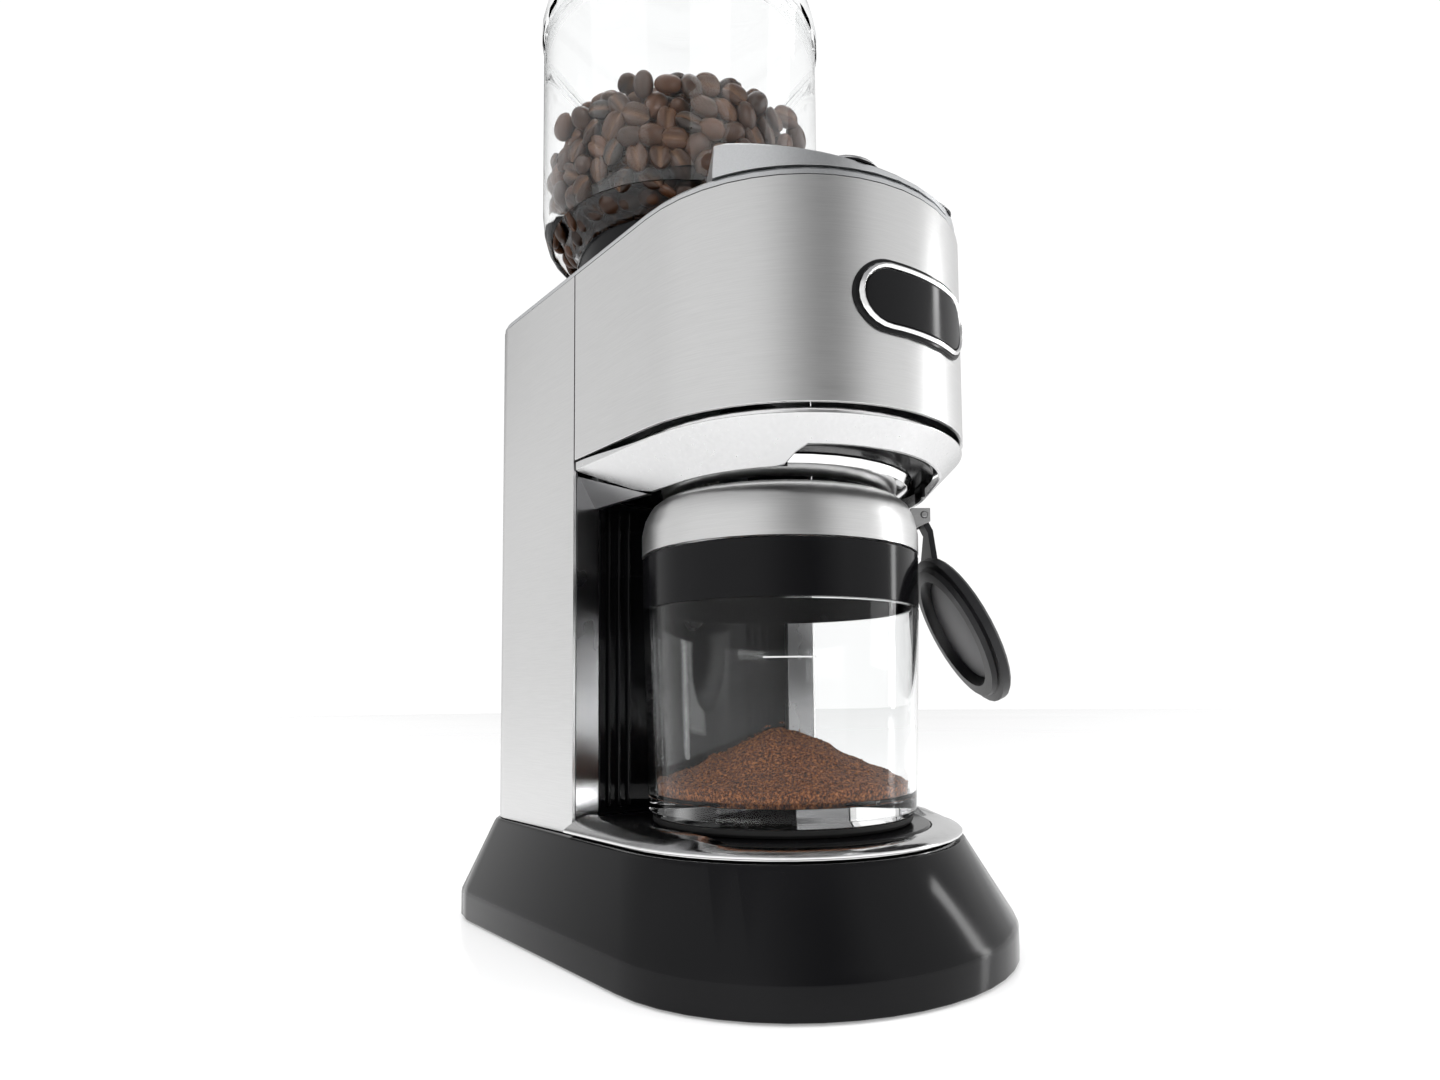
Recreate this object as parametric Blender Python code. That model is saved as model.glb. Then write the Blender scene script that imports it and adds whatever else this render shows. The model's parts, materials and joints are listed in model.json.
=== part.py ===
"""Burr coffee grinder, built as an assembly of separate parts.

Frame: metres, +Z up. The origin is at the middle of the base's underside, the front of the grinder
faces -Y and the column that holds the motor stands at +Y. Dimensions are written in millimetres
times MM. The pieces that touch stand GAP apart.
"""
import math

import bmesh
import bpy
from mathutils import Vector

MM = 0.001
GAP = 0.3 * MM
RUN = 0.6 * MM

# Overall sizes
BASE_WIDTH = 155 * MM
BASE_DEPTH = 210 * MM

# Base
BASE_NOSE = 70.3 * MM
BASE_CORNER = 28 * MM
BASE_WALL = 2.6 * MM
SKIRT_LIFT = 0.8 * MM
RIDGE_Z = 11.7 * MM
RIDGE_SOFTNESS = 1.6 * MM
SKIRT_TOP_Z = 39.3 * MM
SKIRT_FLARE = 10.5 * MM
SKIRT_FLARE_REAR = 13.7 * MM
SKIRT_FLARE_FRONT = 16.5 * MM
SKIRT_FLARE_BACK = 10 * MM
SKIRT_TOP_NOSE = 68 * MM
LEDGE_WIDTH = 6.5 * MM
LEDGE_THICKNESS = 2.4 * MM
FOOT_HEIGHT = 2.5 * MM
FOOT_RADIUS = 8 * MM
FLOOR_PLATE = 2 * MM
SHANK_RADIUS = 1.5 * MM

# Body shell
BODY_SIDE_STEP = 15.2 * MM
BODY_END_STEP = 11.9 * MM
BODY_NOSE = 65 * MM
BODY_CORNER = 16 * MM
SHEET = 1.2 * MM
HEAD_HEIGHT = 70.4 * MM

# Grounds container and what it stands on
CONTAINER_RADIUS = 51 * MM
CONTAINER_FROM_FRONT = 69.1 * MM
JAR_HEIGHT = 75.6 * MM
CAP_SKIRT_HEIGHT = 19.8 * MM
CAP_HEIGHT = 19.3 * MM
JAR_TAPER = 2.4 * MM
JAR_WALL = 1.9 * MM
JAR_FLOOR = 6 * MM
CAP_WALL = 1.1 * MM
CAP_OPENING = 17 * MM
SEAT_RISE = 4.2 * MM
SEAT_MARGIN = 2.5 * MM
SHOULDER_RISE = 2.8 * MM

# Container lid, which hangs open beside the container
LID_RADIUS = 29.5 * MM
LID_THICKNESS = 5.6 * MM
LID_AZIMUTH = math.radians(-38)
LID_TILT = math.radians(26.8)
LID_HINGE_OUT = 2.4 * MM
LID_HINGE_DROP = 3.5 * MM
LID_ARM = 44.1 * MM
LID_PIN_RADIUS = 1.1 * MM

# Head underside
HEAD_CLEARANCE = 1.5 * MM
BEVEL_DROP = 13 * MM
BEVEL_INSET = 12.8 * MM
BEVEL_SHEET = 1.2 * MM
CUTOUT_HALF = 45 * MM
CUTOUT_RISE = 5.4 * MM
GROOVE_HEIGHT = 3 * MM
PANEL_THICKNESS = 1.8 * MM
COLLAR_WIDTH = 10.5 * MM
CHUTE_HALF_WIDTH = 11 * MM
CHUTE_HALF_HEIGHT = 8 * MM
CHUTE_WALL = 1.5 * MM

# Column front and cavity
TRIM_WIDTH = 11.7 * MM
TRIM_RAKE = 4 * MM
TRIM_THICKNESS = 2 * MM
CAVITY_MARGIN = 4 * MM
CAVITY_BEHIND_SEAM = 11.6 * MM
CAVITY_WALL = 2 * MM
SWITCH_RADIUS = 4 * MM
SWITCH_TRAVEL = 1.5 * MM
GLAND_RADIUS = 5.5 * MM
GLAND_HEIGHT = 52 * MM

# Top cover and control panel
COVER_HEIGHT = 3.1 * MM
PANEL_FRONT_RISE = 1.5 * MM
PANEL_BACK_RISE = 10.7 * MM
PANEL_SLOPE_LENGTH = 35 * MM
PANEL_HOPPER_MARGIN = 12 * MM
PANEL_HALF_ANGLE = math.radians(31)
BUTTON_TRAVEL = 1 * MM
BUTTON_HEIGHT = 4.2 * MM
BUTTON_PROUD = 1.6 * MM
MAIN_BUTTON_RADIUS = 8 * MM
SMALL_BUTTON_RADIUS = 3.6 * MM
MAIN_BUTTON_X = 18.5 * MM
SMALL_BUTTON_X = 5.2 * MM
BUTTON_FROM_FRONT = 13.1 * MM
SMALL_BUTTON_FROM_FRONT = 26.5 * MM
DISPLAY_HALF_WIDTH = 8.4 * MM
DISPLAY_HALF_DEPTH = 6.4 * MM
DISPLAY_FROM_FRONT = 11.5 * MM
BADGE_HALF_WIDTH = 25.5 * MM
BADGE_HALF_HEIGHT = 10.4 * MM
BADGE_BELOW_TOP = 36 * MM
BADGE_PROUD = 1.3 * MM
BADGE_RIM = 1.7 * MM

# Hopper
HOPPER_RADIUS = 59.8 * MM
HOPPER_FROM_BACK = 56.4 * MM
HOPPER_WALL = 2 * MM
HOPPER_HEIGHT = 90 * MM
FUNNEL_DEPTH = 11.4 * MM
FUNNEL_SIDES = 12
ADJUST_RADIUS = 45.5 * MM
ADJUST_RISE = 28 * MM
ADJUST_WALL = 4 * MM
LID_RISE = 19 * MM

# Drive and burrs
GEAR_MODULE = 1.1 * MM
GEAR_TEETH = 36
PINION_TEETH = 12
GEAR_WIDTH = 7 * MM
MESH_CLEARANCE = 0.45 * MM
SPINDLE_RADIUS = 5 * MM
BEARING_RADIUS = 9 * MM
MOTOR_RADIUS = 23.5 * MM
MOTOR_HEIGHT = 79 * MM
DECK_PLATE = 2.5 * MM
CHAMBER_RADIUS = 36.5 * MM
CHAMBER_WALL = 2.6 * MM
BURR_RADIUS = 24 * MM

# Driven positions in plan
BODY_WIDTH = BASE_WIDTH - 2 * BODY_SIDE_STEP
BODY_FRONT = -BASE_DEPTH / 2 + BODY_END_STEP
BODY_BACK = BASE_DEPTH / 2 - BODY_END_STEP
CONTAINER_Y = BODY_FRONT + CONTAINER_FROM_FRONT
CAVITY_BACK = CONTAINER_Y + CONTAINER_RADIUS + CAVITY_MARGIN
SEAM_Y = CAVITY_BACK - CAVITY_BEHIND_SEAM
HOPPER_Y = BODY_BACK - HOPPER_FROM_BACK
GEAR_DISTANCE = GEAR_MODULE * (GEAR_TEETH + PINION_TEETH) / 2
MOTOR_Y = HOPPER_Y + GEAR_DISTANCE
SEAT_RADIUS = CONTAINER_RADIUS + SEAT_MARGIN
CAVITY_HALF = BODY_WIDTH / 2 - SHEET - GAP - TRIM_WIDTH

# Driven heights
STEP_Z = SKIRT_TOP_Z + GAP
SEAT_Z = SKIRT_TOP_Z + SEAT_RISE
JAR_Z = SEAT_Z + GAP
LIP_Z = JAR_Z + JAR_HEIGHT
SEAM_Z = LIP_Z + CAP_SKIRT_HEIGHT
CAP_TOP_Z = SEAM_Z + CAP_HEIGHT
BEVEL_LOW_Z = CAP_TOP_Z + HEAD_CLEARANCE
BEVEL_TOP_Z = BEVEL_LOW_Z + BEVEL_DROP
CEILING_Z = BEVEL_LOW_Z + CUTOUT_RISE + GAP
HEAD_Z = BEVEL_TOP_Z + GROOVE_HEIGHT
TOP_Z = HEAD_Z + HEAD_HEIGHT
COVER_Z = TOP_Z + GAP
PANEL_Z = COVER_Z + COVER_HEIGHT + GAP
GEAR_DECK_Z = CEILING_Z + PANEL_THICKNESS + 2 * GAP
GEAR_Z = GEAR_DECK_Z + DECK_PLATE + RUN
GEAR_COVER_Z = GEAR_Z + GEAR_WIDTH + 2 * RUN
CHAMBER_Z = GEAR_COVER_Z + DECK_PLATE + GAP
ADJUST_Z = COVER_Z + ADJUST_RISE
FUNNEL_Z = ADJUST_Z + 1.6 * MM
HOPPER_Z = FUNNEL_Z + FUNNEL_DEPTH - 6.4 * MM
HOPPER_TOP_Z = HOPPER_Z + HOPPER_HEIGHT

ARC_STEPS = 24
CORNER_STEPS = 4
ROUND = 36
SMALL_ROUND = 20
SMOOTH_ANGLE = math.radians(32)

COLOURS = {
    "steel": ((0.62, 0.62, 0.61), 0.32, 1.0),
    "satin": ((0.66, 0.66, 0.67), 0.28, 1.0),
    "chrome": ((0.80, 0.80, 0.81), 0.08, 1.0),
    "gloss_black": ((0.008, 0.008, 0.009), 0.12, 0.0),
    "matt_black": ((0.02, 0.02, 0.02), 0.5, 0.0),
    "rubber": ((0.015, 0.015, 0.015), 0.8, 0.0),
    "silver_plastic": ((0.55, 0.56, 0.57), 0.35, 0.3),
    "clear": ((0.9, 0.92, 0.92), 0.03, 0.0),
    "smoke": ((0.16, 0.16, 0.17), 0.08, 0.0),
    "grey": ((0.2, 0.2, 0.21), 0.45, 0.0),
    "brass": ((0.65, 0.45, 0.2), 0.3, 1.0),
    "green": ((0.02, 0.16, 0.08), 0.45, 0.0),
    "burr_steel": ((0.35, 0.35, 0.36), 0.3, 1.0),
    "nylon": ((0.75, 0.74, 0.7), 0.5, 0.0),
}


# Mesh tools


def remove_start_objects():
    for obj in list(bpy.data.objects):
        bpy.data.objects.remove(obj, do_unlink=True)


def material(name, finish):
    """A Principled material for one part."""
    colour, roughness, metallic = COLOURS[finish]
    made = bpy.data.materials.new(name)
    made.use_nodes = True
    shader = made.node_tree.nodes["Principled BSDF"]
    shader.inputs["Base Color"].default_value = (*colour, 1.0)
    shader.inputs["Roughness"].default_value = roughness
    shader.inputs["Metallic"].default_value = metallic
    if finish in ("clear", "smoke"):
        shader.inputs["Transmission Weight"].default_value = 1.0
    return made


def loft(sections, closed=False):
    """A mesh through equal loops. A closed loft joins its last loop to its first, an open one is capped."""
    bm = bmesh.new()
    loops = [[bm.verts.new(point) for point in section] for section in sections]
    pairs = list(zip(loops, loops[1:]))
    if closed:
        pairs.append((loops[-1], loops[0]))
    for low, high in pairs:
        count = len(low)
        for i in range(count):
            j = (i + 1) % count
            bm.faces.new((low[i], low[j], high[j], high[i]))
    if not closed:
        bm.faces.new(loops[0])
        bm.faces.new(loops[-1])
    return bm


def merged(*meshes):
    """One mesh that holds several separate bodies."""
    whole = bmesh.new()
    for bm in meshes:
        block = bpy.data.meshes.new("block")
        bm.to_mesh(block)
        bm.free()
        whole.from_mesh(block)
        bpy.data.meshes.remove(block)
    return whole


def part(name, bm, finish, parent=None):
    """One named object from a mesh made in world coordinates, hung on its joint's empty if it has one."""
    bmesh.ops.recalc_face_normals(bm, faces=bm.faces)
    pivot = Vector((0, 0, 0))
    if parent:
        pivot = parent.matrix_world.translation
        bmesh.ops.translate(bm, verts=bm.verts, vec=-pivot)
    mesh = bpy.data.meshes.new(name)
    bm.to_mesh(mesh)
    bm.free()
    mesh.shade_smooth()
    mesh.set_sharp_from_angle(angle=SMOOTH_ANGLE)
    mesh.materials.append(material(name, finish))
    obj = bpy.data.objects.new(name, mesh)
    bpy.context.scene.collection.objects.link(obj)
    obj.parent = parent
    return obj


def pivot(name, place):
    """An empty on a joint's axis."""
    empty = bpy.data.objects.new(name, None)
    empty.location = place
    bpy.context.scene.collection.objects.link(empty)
    bpy.context.view_layer.update()
    return empty


def combine(obj, bm, operation):
    """Joins a shape to an object, or cuts it out, through a hidden helper object."""
    helper = part(f"{obj.name}_{operation.lower()}", bm, "grey", obj.parent)
    helper.hide_render = True
    helper.display_type = "WIRE"
    boolean = obj.modifiers.new(operation.title(), "BOOLEAN")
    boolean.operation = operation
    boolean.solver = "EXACT"
    boolean.object = helper


def cut(obj, bm):
    combine(obj, bm, "DIFFERENCE")


def join(obj, bm):
    combine(obj, bm, "UNION")


def at(points, z):
    return [Vector((x, y, z)) for x, y in points]


def prism(points, low, high):
    return loft([at(points, low), at(points, high)])


def circle(radius, centre_y=0.0, steps=ROUND, centre_x=0.0):
    turn = 2 * math.pi / steps
    return [
        (centre_x + radius * math.cos(turn * i), centre_y + radius * math.sin(turn * i))
        for i in range(steps)
    ]


def lathe(profile, centre_y, steps=ROUND, closed=True, centre_x=0.0):
    """A turned body. A closed profile goes round a wall, an open one is capped at both ends."""
    rings = [at(circle(r, centre_y, steps, centre_x), z) for r, z in profile]
    return loft(rings, closed)


def rod(radius, start, end, steps=SMALL_ROUND):
    """A cylinder between two points."""
    start = Vector(start)
    end = Vector(end)
    along = (end - start).normalized()
    side = along.orthogonal().normalized()
    other = along.cross(side)
    turn = 2 * math.pi / steps
    spokes = [radius * (math.cos(turn * i) * side + math.sin(turn * i) * other) for i in range(steps)]
    return loft([[start + spoke for spoke in spokes], [end + spoke for spoke in spokes]])


def block(x0, x1, y0, y1, z0, z1):
    return prism([(x0, y0), (x1, y0), (x1, y1), (x0, y1)], z0, z1)


def blend(low, high, value):
    """0 below low, 1 above high, and a smooth step between."""
    t = min(max((value - low) / (high - low), 0.0), 1.0)
    return t * t * (3 - 2 * t)


# Plans


def arc(cx, cy, rx, ry, start, end, steps):
    """Points on an ellipse from one angle to another, in degrees."""
    angles = [math.radians(start + (end - start) * i / steps) for i in range(steps + 1)]
    return [(cx + rx * math.cos(a), cy + ry * math.sin(a)) for a in angles]


def d_plan(half_front, half_back, front, back, nose, corner):
    """A plan with an elliptical nose at the front and rounded corners at the back."""
    nose_y = front + nose
    right = arc(half_back - corner, back - corner, corner, corner, 0, 90, CORNER_STEPS)
    left = [(-x, y) for x, y in reversed(right)]
    nose_arc = arc(0, nose_y, half_front, nose, 180, 360, ARC_STEPS)
    return right + left + nose_arc


def base_plan(inset=0.0):
    half = BASE_WIDTH / 2 - inset
    return d_plan(
        half, half, -BASE_DEPTH / 2 + inset, BASE_DEPTH / 2 - inset, BASE_NOSE - inset, BASE_CORNER - inset
    )


def skirt_top_plan(inset=0.0):
    return d_plan(
        BASE_WIDTH / 2 - SKIRT_FLARE - inset,
        BASE_WIDTH / 2 - SKIRT_FLARE_REAR - inset,
        -BASE_DEPTH / 2 + SKIRT_FLARE_FRONT + inset,
        BASE_DEPTH / 2 - SKIRT_FLARE_BACK - inset,
        SKIRT_TOP_NOSE - inset,
        BODY_CORNER + 1.5 * MM - inset,
    )


def body_plan(inset=0.0):
    half = BODY_WIDTH / 2 - inset
    return d_plan(half, half, BODY_FRONT + inset, BODY_BACK - inset, BODY_NOSE - inset, BODY_CORNER - inset)


def column_path(inset=0.0):
    """The column's plan from its right front edge round the back to its left one."""
    half = BODY_WIDTH / 2 - inset
    corner = BODY_CORNER - inset
    right = arc(half - corner, BODY_BACK - inset - corner, corner, corner, 0, 90, CORNER_STEPS)
    path = [(half, SEAM_Y + GAP)] + right
    return path + [(-x, y) for x, y in reversed(path)]


def head_path(inset=0.0, steps=ARC_STEPS):
    """The head's plan from its left rear edge round the nose to its right one."""
    half = BODY_WIDTH / 2 - inset
    nose_y = BODY_FRONT + BODY_NOSE
    rear = SEAM_Y - GAP
    side = [(-half, rear + (nose_y - rear) * i / 6) for i in range(6)]
    nose_arc = arc(0, nose_y, half, BODY_NOSE - inset, 180, 360, steps)
    return side + nose_arc + [(-x, y) for x, y in reversed(side)]


def wall(outer, inner, low, high):
    """A sheet that stands between two plan paths."""
    sections = []
    for (ox, oy), (ix, iy) in zip(outer, inner):
        section = [(ox, oy, low), (ox, oy, high), (ix, iy, high), (ix, iy, low)]
        sections.append([Vector(point) for point in section])
    return loft(sections)


def stepped_plan(half, rear_half, nose_y, rx, ry, rear, inset=0.0):
    """A plan with a round front, straight sides and a narrower tongue that runs into the column."""
    step_y = SEAM_Y - GAP - inset
    right = [
        (rear_half - inset, rear - inset),
        (rear_half - inset, step_y),
        (half - inset, step_y),
    ]
    left = [(-x, y) for x, y in reversed(right)]
    return right[::-1] + left[::-1] + arc(0, nose_y, rx - inset, ry - inset, 180, 360, ARC_STEPS)


# Base


def make_base():
    inner_top = BASE_WALL + LEDGE_WIDTH
    soft = RIDGE_SOFTNESS
    slope = SKIRT_FLARE / (SKIRT_TOP_Z - RIDGE_Z)
    rings = [
        at(base_plan(), SKIRT_LIFT),
        at(base_plan(), RIDGE_Z - soft),
        at(base_plan(soft * slope * 0.4), RIDGE_Z),
        at(base_plan(soft * slope * 1.6), RIDGE_Z + soft),
        at(skirt_top_plan(-0.5 * MM), SKIRT_TOP_Z - 1.4 * MM),
        at(skirt_top_plan(0.1 * MM), SKIRT_TOP_Z - 0.4 * MM),
        at(skirt_top_plan(0.6 * MM), SKIRT_TOP_Z),
        at(skirt_top_plan(LEDGE_WIDTH), SKIRT_TOP_Z),
        at(skirt_top_plan(LEDGE_WIDTH), SKIRT_TOP_Z - LEDGE_THICKNESS),
        at(skirt_top_plan(BASE_WALL), SKIRT_TOP_Z - LEDGE_THICKNESS),
        at(base_plan(BASE_WALL), RIDGE_Z),
        at(base_plan(BASE_WALL), SKIRT_LIFT),
    ]
    part("base_skirt", loft(rings, closed=True), "gloss_black")

    plate_low = FOOT_HEIGHT + GAP
    plate_high = plate_low + FLOOR_PLATE
    plate = part("floor_plate", prism(base_plan(BASE_WALL + GAP), plate_low, plate_high), "matt_black")
    spots = screw_spots(inner_top + 4 * MM)
    holes = [rod(SHANK_RADIUS + GAP, (x, y, 0), (x, y, 2 * plate_high), 12) for x, y in spots]
    slots = []
    for i in range(7):
        y = 6 * MM * (i - 3)
        slots.append(block(-16 * MM, 16 * MM, y - 1.2 * MM, y + 1.2 * MM, 0, 2 * plate_high))
    cut(plate, merged(*holes, *slots))

    for name, (x, y) in foot_spots().items():
        profile = [
            (FOOT_RADIUS - 0.8 * MM, 0),
            (FOOT_RADIUS, 0.8 * MM),
            (FOOT_RADIUS, FOOT_HEIGHT - 0.4 * MM),
            (FOOT_RADIUS - 0.6 * MM, FOOT_HEIGHT),
        ]
        part("foot_" + name, lathe(profile, y, 20, False, x), "rubber")


def screw_spots(inset):
    side = BASE_WIDTH / 2 - inset - 6 * MM
    back = BASE_DEPTH / 2 - inset - 14 * MM
    front = BASE_DEPTH / 2 - inset - 26 * MM
    return [(side, back), (-side, back), (side * 0.6, -front), (-side * 0.6, -front)]


def foot_spots():
    side = BASE_WIDTH / 2 - BASE_WALL - FOOT_RADIUS - 12 * MM
    back = BASE_DEPTH / 2 - BASE_WALL - FOOT_RADIUS - 6 * MM
    front_side = side * 0.66
    front = BASE_DEPTH / 2 - BASE_WALL - FOOT_RADIUS - 16 * MM
    return {
        "rear_right": (side, back),
        "rear_left": (-side, back),
        "front_right": (front_side, -front),
        "front_left": (-front_side, -front),
    }


def deck_crest(x, y):
    """Height of the deck: raised beside the container, level with the seat in its way out."""
    low = CONTAINER_Y - 0.68 * CONTAINER_RADIUS
    high = CONTAINER_Y - 0.30 * CONTAINER_RADIUS
    way_out = CONTAINER_RADIUS - JAR_TAPER
    beside = blend(way_out, way_out + 3 * MM, abs(x))
    return SEAT_Z - 0.2 * MM + SHOULDER_RISE * blend(low, high, y) * beside


def deck_stations():
    """Pairs of plan points: the deck's outer edge and its edge round the container."""
    half = BASE_WIDTH / 2 - SKIRT_FLARE
    nose_y = -BASE_DEPTH / 2 + SKIRT_FLARE_FRONT + SKIRT_TOP_NOSE
    rear = SEAM_Y - GAP
    stations = []
    for i in range(6):
        outer_y = rear + (nose_y - rear) * i / 6
        inner_y = rear + (CONTAINER_Y - rear) * i / 6
        stations.append(((-half, outer_y), (-SEAT_RADIUS, inner_y), (1.0, 0.0)))
    outer = arc(0, nose_y, half, SKIRT_TOP_NOSE, 180, 360, ARC_STEPS)
    inner = arc(0, CONTAINER_Y, SEAT_RADIUS, SEAT_RADIUS, 180, 360, ARC_STEPS)
    for i, (far, near) in enumerate(zip(outer, inner)):
        a = math.radians(180 + 180 * i / ARC_STEPS)
        stations.append((far, near, (-math.cos(a), -math.sin(a))))
    mirrored = [((-a[0], a[1]), (-b[0], b[1]), (-n[0], n[1])) for a, b, n in reversed(stations[:6])]
    return stations + mirrored


def make_deck():
    sections = []
    for (ox, oy), (ix, iy), (nx, ny) in deck_stations():

        def point(inset, z, share=0.0):
            x = ox + nx * inset
            y = oy + ny * inset
            return Vector((x + (ix - x) * share, y + (iy - y) * share, z))

        def on_top(share):
            place = point(1.8 * MM, 0.0, share)
            place.z = deck_crest(place.x, place.y)
            return place

        edge = STEP_Z + 1.0 * MM
        lip = edge + 1.7 * MM
        slope = on_top(0.4)
        slope.z = lip + 0.75 * (slope.z - lip)
        rim = on_top(1.0) - Vector((0, 0, 0.3 * MM))
        sections.append(
            [
                point(0.9 * MM, edge),
                point(0.7 * MM, edge + 0.9 * MM),
                point(1.8 * MM, lip),
                slope,
                on_top(0.8),
                rim,
                point(1.8 * MM, STEP_Z, 1.0),
                point(3.4 * MM, STEP_Z, 0.0),
                point(3.4 * MM, edge, 0.0),
            ]
        )
    part("deck_plate", loft(sections), "satin")


def seat_plan(inset=0.0):
    half = SEAT_RADIUS - GAP
    return stepped_plan(half, CAVITY_HALF - 2 * GAP, CONTAINER_Y, half, half, CAVITY_BACK - GAP, inset)


def make_seat():
    foot_z = FOOT_HEIGHT + FLOOR_PLATE + 2 * GAP
    rings = [
        at(seat_plan(2.2 * MM), SEAT_Z - 2.4 * MM),
        at(seat_plan(2.2 * MM), foot_z),
        at(seat_plan(), foot_z),
        at(seat_plan(), SEAT_Z - 0.6 * MM),
        at(seat_plan(0.6 * MM), SEAT_Z),
    ]
    part("container_seat", loft(rings), "gloss_black")


# Column


def make_column():
    wrap = part("column_wrap", wall(column_path(), column_path(SHEET), STEP_Z, TOP_Z), "steel")
    back = BODY_BACK
    gland_hole = rod(
        GLAND_RADIUS + GAP, (0, back - 4 * MM, GLAND_HEIGHT), (0, back + 4 * MM, GLAND_HEIGHT)
    )
    cut(wrap, gland_hole)

    for side, name in ((1, "column_trim_right"), (-1, "column_trim_left")):
        outer = BODY_WIDTH / 2 - SHEET - GAP
        front = SEAM_Y + GAP
        plan = [
            (outer, front),
            (CAVITY_HALF, front + TRIM_RAKE),
            (CAVITY_HALF, front + TRIM_RAKE + TRIM_THICKNESS),
            (outer, front + TRIM_THICKNESS),
        ]
        drop = BEVEL_DROP * TRIM_WIDTH / BEVEL_INSET
        tops = [BEVEL_TOP_Z - 1 * MM, BEVEL_TOP_Z - 1 * MM - drop]
        heights = [tops[0], tops[1], tops[1], tops[0]]
        low = [Vector((side * x, y, STEP_Z + GAP)) for x, y in plan]
        high = [Vector((side * x, y, z)) for (x, y), z in zip(plan, heights)]
        trim = part(name, loft([low, high]), "satin")
        join(trim, corner_infill(side))

    front = SEAM_Y + 2 * GAP + TRIM_RAKE + TRIM_THICKNESS
    inner = open_box(CAVITY_HALF, front, CAVITY_BACK)
    outer = open_box(CAVITY_HALF + CAVITY_WALL, front, CAVITY_BACK + CAVITY_WALL)
    cavity = part("cavity_wall", wall(outer, inner, SEAT_Z + GAP, CEILING_Z - GAP), "gloss_black")
    z = switch_height()
    cut(cavity, rod(SWITCH_RADIUS + RUN, (0, CAVITY_BACK - 3 * MM, z), (0, CAVITY_BACK + 6 * MM, z)))

    profile = [
        (GLAND_RADIUS - 2 * MM, -3.4 * MM),
        (GLAND_RADIUS, -3.4 * MM),
        (GLAND_RADIUS, GAP),
        (GLAND_RADIUS + 2.6 * MM, GAP),
        (GLAND_RADIUS + 2 * MM, 2 * MM),
        (GLAND_RADIUS - 1 * MM, 5 * MM),
        (GLAND_RADIUS - 2 * MM, 5 * MM),
    ]
    rings = []
    for radius, out in profile:
        rings.append([Vector((x, back + out, GLAND_HEIGHT + y)) for x, y in circle(radius, 0, SMALL_ROUND)])
    part("cord_gland", loft(rings, closed=True), "rubber")


def open_box(half, front, back):
    """Three sides of a box in plan: back along the right side, across, and forward along the left."""
    return [(half, front), (half, back), (-half, back), (-half, front)]


def switch_height():
    return SEAM_Z - 18 * MM


def make_switch():
    """The plunger behind the container, pushed in further by up to its overtravel."""
    z = switch_height()
    start = CONTAINER_Y + CONTAINER_RADIUS + RUN
    empty = pivot("joint_container_switch", (0, start, z))
    end = CAVITY_BACK + CAVITY_WALL + SWITCH_TRAVEL + GAP
    bm = rod(SWITCH_RADIUS, (0, start + 0.8 * MM, z), (0, end, z))
    tip = min(bm.faces, key=lambda face: face.calc_center_median().y)
    bmesh.ops.bevel(bm, geom=list(tip.edges), offset=0.6 * MM, segments=1, affect="EDGES")
    part("container_switch", bm, "matt_black", empty)


def make_chassis():
    half = BODY_WIDTH / 2 - 8 * MM
    back = BODY_BACK - 9 * MM
    front = CAVITY_BACK + CAVITY_WALL + 4 * MM
    sheet = 2 * MM
    outer = [(half, back), (half, front), (-half, front), (-half, back)]
    inner = [(half - sheet, back), (half - sheet, front + sheet)]
    inner += [(-x, y) for x, y in reversed(inner)]
    low = FOOT_HEIGHT + FLOOR_PLATE + 2 * GAP
    part("chassis", wall(outer, inner, low, GEAR_DECK_Z - GAP), "burr_steel")

    board_z = STEP_Z + 9 * MM
    side = half - sheet - 6 * MM
    board = block(-side, side, front + 4 * MM, back - 2 * MM, board_z, board_z + 1.6 * MM)
    part("power_board", board, "green")


# Head


def make_head():
    part("head_wrap", wall(head_path(), head_path(SHEET), HEAD_Z, TOP_Z), "steel")
    low = BEVEL_TOP_Z - 0.4 * MM
    part("groove_ring", wall(head_path(3.8 * MM), head_path(5.6 * MM), low, HEAD_Z - GAP), "chrome")
    make_bevel()

    half = BODY_WIDTH / 2 - BEVEL_INSET + 1.3 * MM
    nose = BODY_NOSE - 9.9 * MM
    ceiling_plan = stepped_plan(
        half, CAVITY_HALF - GAP, BODY_FRONT + BODY_NOSE, half, nose, CAVITY_BACK - GAP
    )
    ceiling_top = CEILING_Z + PANEL_THICKNESS
    ceiling = part("head_ceiling", prism(ceiling_plan, CEILING_Z, ceiling_top), "gloss_black")
    cut(ceiling, rod(collar_inner(), (0, CONTAINER_Y, CEILING_Z - MM), (0, CONTAINER_Y, ceiling_top + MM)))

    inner = collar_inner()
    outer = inner + COLLAR_WIDTH
    top = CEILING_Z - GAP
    low = BEVEL_LOW_Z + 0.2 * MM
    profile = [
        (inner, top),
        (inner, low + 2 * MM),
        (inner + 1 * MM, low + 0.4 * MM),
        (inner + 2.6 * MM, low),
        (inner + 5 * MM, low + 0.8 * MM),
        (outer - 1.6 * MM, low + 2.6 * MM),
        (outer, top),
    ]
    part("guide_collar", lathe(profile, CONTAINER_Y), "chrome")
    make_chute()


def collar_inner():
    return CONTAINER_RADIUS - 12 * MM


def bevel_reach(x, y):
    """How much of the bevel stands at a place in plan: none at the seam, all at the sides, half in front."""
    corner = SEAM_Y - 28.2 * MM
    reach = 1.0 - 0.92 * min(max((y - corner) / (SEAM_Y - GAP - corner), 0.0), 1.0)
    if y < CONTAINER_Y:
        full = CUTOUT_RISE / BEVEL_DROP
        reach -= full * (1 - blend(CUTOUT_HALF - 7 * MM, CUTOUT_HALF, abs(x)))
    return reach


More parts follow.
